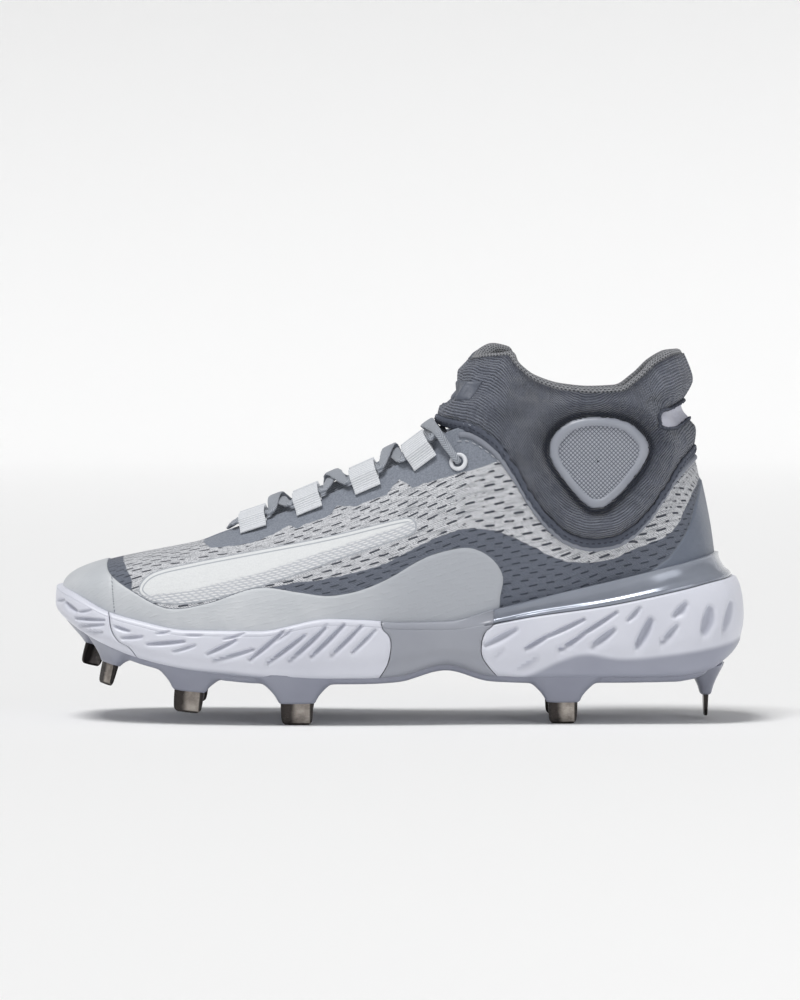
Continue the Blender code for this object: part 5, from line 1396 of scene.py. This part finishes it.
base, normal = cuffPanel(
    "heelPatch", heelColumns, slotLine(-1), slotLine(1), patchLook, "patch", "heel_patch", 0.0004, 3)
border = np.concatenate((base[:, 0], base[::-1, -1]))
borderUp = np.concatenate((normal[:, 0], normal[::-1, -1]))
for _ in range(4):
    border = (np.roll(border, 1, 0) + 2 * border + np.roll(border, -1, 0)) / 4
finished(tube("heelPatchPiping", border + borderUp * 0.0007, 0.0008, darkThread, 8, True), "patch")
threadRun("heelPatchStitches", border + borderUp * 0.0014, True, tapeLook, "patch", 0.0021, 0.0015, 0.0004)
frontColumns = [c for c in range(-90, 91) if cuffOuter[c, 40, 0] < 0.0325]
cuffPanel("frontLabel", frontColumns, lambda x: 0.1392, lambda x: 0.1472, labelLook, "patch", "front_label", 0.0006, 4)

print("cuff: binding and seam")
binding = {"width": 0.0060, "height": 0.0030, "sides": 16, "holes": (0.0018, 0.0011, 0.0010, 0.0006)}
outEdge, inEdge = cuffOuter[:, -1], cuffInner[:, -1]
across = unit(outEdge - inEdge)
rise = unit(np.array((0.0, 0.0, 1.0)) - across * across[:, 2:])
base = (outEdge + inEdge) / 2 + rise * shoe["gap"] * 0.8
ring = []
for angle in np.linspace(0, np.pi, binding["sides"]):
    wide, high = math.cos(angle) * binding["width"] * 0.54, math.sin(angle) ** 0.75 * binding["height"]
    ring.append(base + across * wide + rise * high)
ring.append(base - across * binding["width"] * 0.50 - rise * 0.0006)
ring.append(base + across * binding["width"] * 0.50 - rise * 0.0006)
bindingGrid = np.stack(ring, axis=1)


def bindingMaterial():
    look, tree, shader = newLook("meshBinding", roughness=0.85, sheen=0.15)
    holes = rowPattern(fieldOf(tree, "edgeUv", True), *binding["holes"])
    yarn = noise(objectPoint(tree), 1300, 2)
    colour = cloudy(yarn, srgb(158, 159, 162), srgb(116, 118, 124))
    colour = blendColour(times(holes, 0.9), colour, srgb(34, 37, 44))
    dress(shader, colour, relief(minus(times(yarn, 0.4), holes), 0.0003, 0.9))
    return look


bindingFaces = quads(cuff["columns"], bindingGrid.shape[1], True, True)
bindingPiece = makePiece("cuffBinding", bindingGrid, bindingFaces, bindingMaterial())
runRound = np.linalg.norm(np.diff(bindingGrid[:, 0], axis=0, prepend=bindingGrid[:1, 0]), axis=1).cumsum()
runOver = np.linalg.norm(np.diff(bindingGrid, axis=1, prepend=bindingGrid[:, :1]), axis=2).cumsum(axis=1)
edgeUv = np.stack((np.repeat(runRound[:, None], bindingGrid.shape[1], 1), runOver, runOver * 0), axis=-1)
addField(bindingPiece, "edgeUv", edgeUv.reshape(-1, 3))
finished(bindingPiece, "binding", "cuff_binding")

seamTurns = np.linspace(0.562, 1.0, 170)
seamPositions = np.concatenate((-seamTurns, seamTurns[::-1][1:]))


def upperNormal(position, row):
    a = upperPoint(position, np.asarray(row) + 0.01) - upperPoint(position, np.asarray(row) - 0.01)
    b = upperPoint(turnRound(position + 0.004), row) - upperPoint(turnRound(position - 0.004), row)
    return unit(np.cross(a, b))


rollUp = upperNormal(seamPositions, 0.96)
rollPath = upperPoint(seamPositions, 0.958) + rollUp * 0.0002
pipingLook = plainLook("seamRoll", srgb(146, 150, 160), srgb(132, 136, 147), 0.85, fineScale=1300, bump=0.00025)
finished(tube("seamRoll", rollPath, 0.0013, pipingLook, 12, False, 0.75, rollUp), "knit")
rollSeam = upperPoint(seamPositions, 0.925) + upperNormal(seamPositions, 0.925) * 0.0002
threadRun("rollStitches", rollSeam, False, threadLook, "knit", 0.0033, 0.0022)
tapeBase, tapeUp = cuffOuter[:, 1], unit(cuffNormal[:, 4] * (1, 1, 0.3))
tapePath = tapeBase + tapeUp * 0.0007 - (0, 0, 0.0006)
finished(tube("seamTape", tapePath, 0.0021, tapeLook, 12, True, 0.42, tapeUp), "binding")
lowSeam, highSeam = tapePath + tapeUp * 0.0008 + (0, 0, 0.0002), tapePath + tapeUp * 0.0006 + (0, 0, 0.0013)
threadRun("tapeStitches", lowSeam, True, darkThread, "binding", 0.0026, 0.0019, 0.00035)
threadRun("tapeTopStitches", highSeam, True, threadLook, "binding", 0.0030, 0.0018, 0.0002)

print("tongue, insole")
tongue = {"wall": 0.0030, "crown": 0.0034, "from": 0.034, "rows": 130, "across": 26, "rib": 0.0016}


def belowUpper(position, row):
    return upperPoint(position, row) - upperNormal(position, row) * (upper["wall"] + 4 * shoe["gap"])


def throatCrown(turn):
    crown = (topLine(-turn) + topLine(turn)) / 2
    fade = np.clip((turn - 0.17) / 0.16, 0, 1)
    crown[..., 2] += tongue["crown"] * fade - 2 * upper["wall"] * (1 - fade)
    return crown


turns = np.linspace(tongue["from"], throatEnd, tongue["rows"])
left, right, crown = belowUpper(-turns, 0.999), belowUpper(turns, 0.999), throatCrown(turns)
top = 2 * crown - (left + right) / 2
rows = [belowUpper(-turns, row) for row in (0.857, 0.90, 0.95)]
for t in np.linspace(0, 1, tongue["across"] + 1):
    rows.append((1 - t) ** 2 * left + 2 * (1 - t) * t * top + t * t * right)
rows += [belowUpper(turns, row) for row in (0.95, 0.90, 0.857)]
tongueGrid = np.stack(rows, axis=1)
tongueUp = gridNormals(tongueGrid, closed=False)
if tongueUp[60, 16, 2] < 0:
    tongueUp = -tongueUp


def tongueMaterial():
    look, tree, shader = newLook("tongueKnit", roughness=0.9, sheen=0.2)
    part = put(tree, "ShaderNodeSeparateXYZ", {0: objectPoint(tree)})
    ribs = sums("SINE", times(part.outputs[1], 2 * math.pi / tongue["rib"]))
    height = plus(ramp(ribs, -1, 1), times(noise(objectPoint(tree), 1300, 2), 0.5))
    colour = blendColour(ramp(height, 0.2, 1.3), srgb(120, 126, 138), srgb(178, 183, 192))
    dress(shader, colour, relief(height, 0.0003, 0.8))
    return look


tongueUnder = tongueGrid - tongueUp * tongue["wall"]
finished(makeSlab("tongueKnit", tongueGrid, tongueUnder, tongueMaterial()), "tongue", "tongue")

insole = {"columns": 360, "thick": 0.004, "across": 12}
positions = np.arange(insole["columns"]) / insole["columns"] * 2 - 1
bed = spine(footAlong(np.abs(positions)), "bed")
rim = feather(positions) - outward(positions) * (upper["wall"] + 4 * shoe["gap"])
bed = bed + (0, 0, 2 * shoe["gap"])
rim[:, 2] += 2 * shoe["gap"]
rows = [bed + (rim - bed) * t for t in np.linspace(0, 1, insole["across"])]
rows += [rim + (0, 0, insole["thick"] * 0.6)]
rows += [bed + (rim - bed) * t + (0, 0, insole["thick"]) for t in np.linspace(0.985, 0, insole["across"])]
insoleLook = plainLook("insoleCloth", srgb(84, 88, 98), srgb(72, 76, 86), 0.95, fineScale=1200, bump=0.0003)
insoleGrid = np.stack(rows, axis=1)
insolePiece = makePiece("insoleCloth", insoleGrid, quads(insole["columns"], len(rows)), insoleLook, merge=1e-6)
finished(insolePiece, "insole", "insole")

print("loops, eyelets, lace")
lacing = {
    "turns": (0.288, 0.381, 0.452, 0.508), "eyelet": 0.560, "eyeletRow": 0.82, "topCrossing": 0.524,
    "laceWidth": 0.0062, "laceThick": 0.0014, "loopWidth": 0.0120, "strap": 0.0010, "loopLength": 0.0090,
    "ring": 0.0040, "hole": 0.0022, "ringThick": 0.0012, "seat": 0.0003, "ribPitch": 0.00105, "rib": 0.00016, "laceSides": 24,
}


def edgeFrame(position, row=1.0):
    # a place on the upper with its run to the heel, the way inwards and the normal
    sign, turn = (1 if position >= 0 else -1), abs(position)
    point = upperPoint(position, row)
    run = unit(upperPoint(sign * (turn + 0.004), row) - upperPoint(sign * (turn - 0.004), row))
    inward = unit(point - upperPoint(position, row - 0.03))
    inward = unit(inward - run * (run @ inward))
    normal = np.cross(run, inward)
    return point, run, inward, normal if normal[2] > 0 else -normal


def webbingMaterial():
    look, tree, shader = newLook("whiteWebbing", roughness=0.75, sheen=0.15)
    yarn = noise(objectPoint(tree), 1500, 2)
    colour = cloudy(yarn, srgb(236, 238, 241), srgb(220, 223, 228))
    # painted shade in the rib valleys
    colour = blendColour(times(fieldOf(tree, "valleyShade"), 0.45), colour, srgb(160, 165, 174))
    dress(shader, colour, relief(yarn, 0.0002, 0.7))
    return look


webbingLook = webbingMaterial()


def loopSection():
    # the strap's middle line seen along the throat: x inwards, z off the upper
    strap, back, seat = lacing["strap"], lacing["loopLength"], lacing["seat"]
    bend = lacing["laceThick"] / 2 + 2.5 * shoe["gap"] + strap / 2
    centre, reach = seat + strap / 2 + bend, lacing["laceWidth"] * 0.40
    path = [(-back * 0.45, seat + strap / 2), (reach * 0.4, seat + strap / 2)]
    halfTurn = np.linspace(-math.pi / 2, math.pi / 2, 13)
    path += [(reach + bend * math.cos(a), centre + bend * math.sin(a)) for a in halfTurn]
    path += [(reach * 0.3, centre + bend), (-back * 0.30, centre + bend * 0.92), (-back * 0.62, seat + strap * 2.0)]
    path += [(-back * 0.80, seat + strap * 1.05), (-back, seat + strap * 0.65)]
    path = np.array(path)
    run = np.concatenate(([0.0], np.linalg.norm(np.diff(path, axis=0), axis=1).cumsum()))
    at = np.linspace(0, run[-1], 190)
    smooth = np.stack([np.interp(at, run, path[:, k]) for k in (0, 1)], axis=1)
    for _ in range(6):
        smooth[1:-1] = (smooth[:-2] + 2 * smooth[1:-1] + smooth[2:]) / 4
    return smooth, at


def makeLoop(name, node, position):
    point, run, inward, normal = edgeFrame(position)
    path, at = loopSection()
    way = unit(np.gradient(path, axis=0))
    side = np.stack((way[:, 1], -way[:, 0]), axis=1)
    wave = 0.5 + 0.5 * np.cos(2 * np.pi * at / lacing["ribPitch"])
    half = lacing["strap"] / 2 - lacing["rib"] * (1 - wave) - 0.00005
    half[[0, -1]] *= 0.4
    stations = np.array((-0.5, -0.49, -0.46, -0.3, -0.1, 0.1, 0.3, 0.46, 0.49, 0.5))
    shrink = np.array((0.35, 0.75, 1, 1, 1, 1, 1, 1, 0.75, 0.35))
    grid, valleys = [], []
    for s, k in zip(stations, shrink):
        ring = np.concatenate((path + side * half[:, None] * k, (path - side * half[:, None] * k)[::-1]))
        grid.append(point + run * s * lacing["loopWidth"] + ring[:, :1] * inward + ring[:, 1:] * normal)
        valleys.append(np.concatenate((1 - wave, (1 - wave)[::-1])))
    grid = np.stack(grid)
    count = grid.shape[1]
    faces = quads(len(stations), count, False, True).tolist()
    for first in (0, (len(stations) - 1) * count):
        faces += capFaces(first, count)
    piece = makePiece(name, grid, faces, webbingLook, merge=1e-9)
    addField(piece, "valleyShade", np.concatenate(valleys))
    finished(piece, "webbing", node)


for k, turn in enumerate(lacing["turns"]):
    makeLoop("laceLoopOut%d" % (k + 1), "lace_loop_out_%d" % (k + 1), -turn)
    makeLoop("laceLoopIn%d" % (k + 1), "lace_loop_in_%d" % (k + 1), turn)

eyeletLook = plainLook("eyeletRing", srgb(232, 234, 238), srgb(220, 223, 229), 0.4, fineScale=1500, coat=0.2)
for name, sign in (("out", -1), ("in", 1)):
    point, run, inward, normal = edgeFrame(sign * lacing["eyelet"], lacing["eyeletRow"])
    wide, hole, thick = lacing["ring"], lacing["hole"], lacing["ringThick"]
    profile = [(wide, 0.0)]
    for angle in np.linspace(0, np.pi, 15):
        radius = (wide + hole) / 2 + (wide - hole) / 2 * math.cos(angle)
        profile.append((radius, thick * (0.35 + 0.65 * math.sin(angle) ** 0.7)))
    profile += [(hole, 0.0)]
    ring = []
    for angle in np.arange(64) / 64 * 2 * np.pi:
        ray = run * math.cos(angle) + inward * math.sin(angle)
        ring.append([point + ray * r + normal * (z + 0.0001) for r, z in profile])
    faces = quads(64, len(profile), True, True)
    eyeletRing = makePiece("eyeletRing" + name.title(), ring, faces, eyeletLook, merge=1e-7)
    finished(eyeletRing, "eyelet", "eyelet_" + name)
    cup = [(0.00005, 0.0007), (hole * 0.7, 0.0007), (hole * 1.02, 0.0009), (hole * 1.02, 0.0003), (0.00005, 0.0003)]
    ring = []
    for angle in np.arange(32) / 32 * 2 * np.pi:
        ray = run * math.cos(angle) + inward * math.sin(angle)
        ring.append([point + ray * r + normal * z for r, z in cup])
    faces = quads(32, len(cup), True, True)
    finished(makePiece("eyeletShade" + name.title(), ring, faces, liningLook, merge=1e-9), "eyelet")


def laceRun():
    # places, normals and width shares of the lace from one top eyelet to the other
    rise = lacing["seat"] + lacing["strap"] + lacing["laceThick"] / 2 + 2.5 * shoe["gap"]
    half = lacing["loopWidth"] / 2 + lacing["laceWidth"] * 0.45
    last = len(lacing["turns"])

    def through(sign, k, way):
        point, run, inward, normal = edgeFrame(sign * lacing["turns"][k])
        centre = point + inward * lacing["laceWidth"] * 0.02 + normal * rise
        return [(centre + run * half * way * share, normal, 0.58) for share in (-1.0, -0.56, 0.56, 1.0)]

    def over(turn, levelUp):
        crown, nearby = throatCrown(np.array(turn)), throatCrown(np.array(turn + 0.01))
        normal = unit(np.cross(unit(nearby - crown), (0.0, -1.0, 0.0)))
        normal = normal if normal[2] > 0 else -normal
        lift = lacing["laceThick"] * (0.5 + levelUp) + shoe["gap"] * (5 + 3 * levelUp)
        return crown + normal * lift, normal, 1.0

    def atEyelet(sign):
        edge, _, _, lean = edgeFrame(sign * (lacing["eyelet"] - 0.026))
        point, _, _, normal = edgeFrame(sign * lacing["eyelet"], lacing["eyeletRow"])
        riseOver = lacing["ringThick"] + lacing["laceThick"] / 2 + 4 * shoe["gap"]
        start = edge + lean * (riseOver + 2 * shoe["gap"])
        half = (edge + point) / 2 + (lean + normal) / 2 * (riseOver + 3 * shoe["gap"])
        back = unit(point - edge)
        near = point + normal * riseOver * 0.9 - back * 0.0016
        inHole = point + normal * 0.0006 + back * 0.0001
        deep = point - normal * 0.0012
        return [(start, lean, 0.60), (half, normal, 0.55), (near, unit(normal + back), 0.48), (inHole, back, 0.42),
                (deep, back, 0.36)]

    route, sign = [], 1
    crossing = lambda k: lacing["topCrossing"] if k == last - 1 else (lacing["turns"][k] + lacing["turns"][k + 1]) / 2
    for k in range(last - 1, -1, -1):
        sign = -sign
        route += [over(crossing(k), 0)] + through(sign, k, -1)
    route.append(over(lacing["turns"][0] - 0.05, 0))
    for k in range(last):
        sign = -sign
        route += through(sign, k, 1) + [over(crossing(k), 1)]
    return atEyelet(1)[::-1] + route + atEyelet(-1)


laceSteps = laceRun()
laceTable = np.array([np.concatenate((p, n, [w])) for p, n, w in laceSteps])
lacePath = rounded(laceTable, parts=14)
lacePoints, laceUp, laceShare = lacePath[:, :3], unit(lacePath[:, 3:6]), lacePath[:, 6]
way = unit(np.gradient(lacePoints, axis=0))
side = unit(np.cross(way, laceUp))
laceUp = unit(np.cross(side, way))
run = np.concatenate(([0.0], np.linalg.norm(np.diff(lacePoints, axis=0), axis=1).cumsum()))
ring, uvs = [], []
for angle in np.arange(lacing["laceSides"]) / lacing["laceSides"] * 2 * np.pi:
    c, s = math.cos(angle), math.sin(angle)
    wide = lacing["laceWidth"] * laceShare / 2 * math.copysign(abs(c) ** 0.55, c)
    thick = lacing["laceThick"] / 2 * (1 + 1.3 * np.clip(0.6 - laceShare, 0, 1)) * math.copysign(abs(s) ** 0.8, s)
    weave = 1 + 0.05 * np.sin(run * 2 * np.pi / 0.0013 + (np.pi if c > 0 else 0))
    ring.append(lacePoints + side * (wide * weave)[:, None] + laceUp * (thick * weave)[:, None])
    uvs.append(np.stack((run, wide, run * 0), axis=1))
laceGrid = np.stack(ring, axis=1)
faces = closedRun(len(run), lacing["laceSides"])


def laceMaterial():
    look, tree, shader = newLook("greyLace", roughness=0.88, sheen=0.25)
    uv = put(tree, "ShaderNodeSeparateXYZ", {0: fieldOf(tree, "laceUv", True)})
    vee = plus(uv.outputs[0], times(absolute(uv.outputs[1]), 0.9))
    vee = ramp(sums("SINE", times(vee, 2 * math.pi / 0.0011)), -1, 1)
    yarn = noise(objectPoint(tree), 1600, 2)
    colour = blendColour(plus(times(vee, 0.6), times(yarn, 0.4)), srgb(124, 130, 141), srgb(186, 191, 199))
    dress(shader, colour, relief(plus(vee, times(yarn, 0.5)), 0.0003, 0.8))
    return look


lacePiece = makePiece("greyLace", laceGrid, faces, laceMaterial())
addField(lacePiece, "laceUv", np.stack(uvs, axis=1).reshape(-1, 3))
finished(lacePiece, "lace", "lace")

print("plate and spikes")
plateSizes = {
    "voxel": 0.00095, "smooth": 7, "spikeHeight": 0.0092, "spikeWidth": 0.0140, "spikeThick": 0.0022, "margin": 0.0040,
    "lean": 0.7, "leanFrom": 0.02,
}
# along, across, tip's height, heading in degrees, width share
spikes = {
    "toe_out": (0.076, -0.150, 0.098, -55, 0.78), "toe_in": (0.048, 0.170, 0.136, 40, 0.78),
    "front_out": (0.196, -0.300, 0.030, -12, 0.92), "front_in": (0.195, 0.370, 0.030, 10, 0.92),
    "ball_out": (0.354, -0.375, 0.0, 4, 1.0), "ball_in": (0.352, 0.350, 0.0, -4, 1.0),
    "heel_out": (0.735, -0.290, 0.0, 0, 0.90), "heel_in": (0.735, 0.250, 0.0, 0, 0.90),
    "rear": (0.945, 0.0, 0.009, 90, 0.90),
}


def spikeFrame(row):
    along, acrossShare, tip, heading, width = row
    foot, angle = place(along, acrossShare, tip), math.radians(heading)
    run, up = np.array((math.cos(angle), math.sin(angle), 0.0)), np.array((0.0, 0.0, 1.0))
    if tip > plateSizes["leanFrom"]:
        fall = float(sole("base", along - 0.02) - sole("base", along + 0.02))
        up = unit(np.array((plateSizes["lean"] * fall * shoe["cuffHeight"] / (0.04 * shoe["length"]), 0.0, 1.0)))
        run = unit(run - up * (up @ run))
    return foot, run, np.cross(up, run), up, plateSizes["spikeWidth"] * width


plateLook = plainLook(
    "mouldedPlate", srgb(150, 153, 167), srgb(141, 144, 159), 0.36, coat=0.15, fineScale=700, bump=0.00005)
down, drop = np.array((0, 0, 0.0012)), np.array((0, 0, -soleSizes["plate"]))
middleLine, corner = soleGrid[::2, 0], soleGrid[::2, 1]
inwards = (middleLine - corner) / np.linalg.norm(corner - middleLine, axis=1, keepdims=True)
edge, under = corner + inwards * soleSizes["plateInset"], corner + inwards * 2.2 * soleSizes["plateInset"] + drop
rows = [middleLine + drop + down, under + down, edge + down + drop * 0.45, edge + down, middleLine + down]
plateGrid = np.stack(rows, axis=1)
solids = [makePiece("plateStart", plateGrid, quads(len(plateGrid), len(rows)), plateLook, merge=1e-6)]
for row in spikes.values():
    foot, run, side, up, width = spikeFrame(row)
    base = foot + up * (plateSizes["spikeHeight"] - 0.0002)
    rings = []
    for lift in np.linspace(0, 1, 11):
        grow = 1.5 * lift ** 1.6
        ring = []
        for angle in (np.arange(28) + 0.5) / 28 * 2 * np.pi:
            c, s = math.cos(angle), math.sin(angle)
            wide = width / 2 + plateSizes["margin"] * (0.25 + 2.1 * grow)
            thick = plateSizes["spikeThick"] / 2 + plateSizes["margin"] * (0.35 + grow)
            point = base + run * math.copysign(abs(c) ** 0.6, c) * wide
            point = point + side * math.copysign(abs(s) ** 0.6, s) * thick
            roof = float(sole("base", point[0] / shoe["length"] + 0.5)) * shoe["cuffHeight"] + 0.0015
            ring.append(point + up * max(roof - point[2], 0.001) * lift)
        rings.append(ring)
    grid = np.array(rings)
    faces = closedRun(11, 28)
    solids.append(makePiece("studStart", grid, faces, plateLook, merge=1e-7))
for piece in list(bpy.context.selected_objects):
    piece.select_set(False)
for piece in solids[1:]:
    piece.select_set(True)
bpy.context.view_layer.objects.active = solids[0]
solids[0].select_set(True)
bpy.ops.object.join()
plate = solids[0]
plate.name = plate.data.name = "mouldedPlate"
change = plate.modifiers.new("blend", "REMESH")
change.mode, change.voxel_size, change.use_smooth_shade = "VOXEL", plateSizes["voxel"], True
change = plate.modifiers.new("soft", "SMOOTH")
change.factor, change.iterations = 0.5, plateSizes["smooth"]
made = settled(plate)
made.materials.clear()
made.materials.append(plateLook)
made.shade_smooth()
finished(plate, "plate", "outsole_plate")
print("  plate", len(made.polygons), "faces")



def steelMaterial():
    # scratched, stained steel; one side and the rim are darkened by a painted reflection
    look, tree, shader = newLook("scratchedSteelPaintedReflection", roughness=0.3, metallic=1.0)
    scratch = noise(objectPoint(tree, scale=(1, 1, 6)), 500, 4, 0.7)
    stain = noise(objectPoint(tree), 260, 3)
    along = fieldOf(tree, "bladeX")
    colour = blendColour(ramp(stain, 0.35, 0.65), srgb(172, 165, 157), srgb(136, 129, 123))
    # painted reflection: one side of the blade darker
    shade = plus(along, ramp(stain, 0, 1, -0.12, 0.12))
    colour = blendColour(mask(shade, 0.02, -0.22), colour, srgb(66, 62, 60))
    # painted reflection: the rim and tip darker
    rimOn = larger(mask(absolute(along), 0.40, 0.45), mask(fieldOf(tree, "bladeZ"), 0.10, 0.04))
    colour = blendColour(rimOn, colour, srgb(60, 57, 56))
    dress(shader, colour, relief(scratch, 0.00005, 0.6), ramp(scratch, 0.3, 0.7, 0.22, 0.42))
    return look


steelLook = steelMaterial()
outline = rounded((
    (-0.50, 1.00), (-0.49, 0.55), (-0.46, 0.18), (-0.38, 0.04), (-0.26, 0.00), (0.26, 0.00), (0.38, 0.04),
    (0.46, 0.18), (0.49, 0.55), (0.50, 1.00),
), parts=4)
for name, row in spikes.items():
    foot, run, side, up, width = spikeFrame(row)
    rings = []
    for face, inset in ((-0.5, 0.92), (-0.42, 0.99), (-0.3, 1.0), (0.3, 1.0), (0.42, 0.99), (0.5, 0.92)):
        x, z = outline[:, :1], outline[:, 1:]
        taper = 0.62 + 0.38 * z
        high = np.where(z < 0.9, z * (2 - inset) + (1 - inset) * 0.25, z)
        thick = face * plateSizes["spikeThick"] * taper
        rings.append(foot + run * x * width * inset + up * high * plateSizes["spikeHeight"] + side * thick)
    grid = np.array(rings)
    count = grid.shape[1]
    faces = closedRun(6, count)
    blade = makePiece("spike" + name.title().replace("_", ""), grid, faces, steelLook, sharp=40)
    addField(blade, "bladeX", np.tile(outline[:, 0], 6))
    addField(blade, "bladeZ", np.tile(outline[:, 1], 6))
    finished(blade, "spike", "spike_" + name)
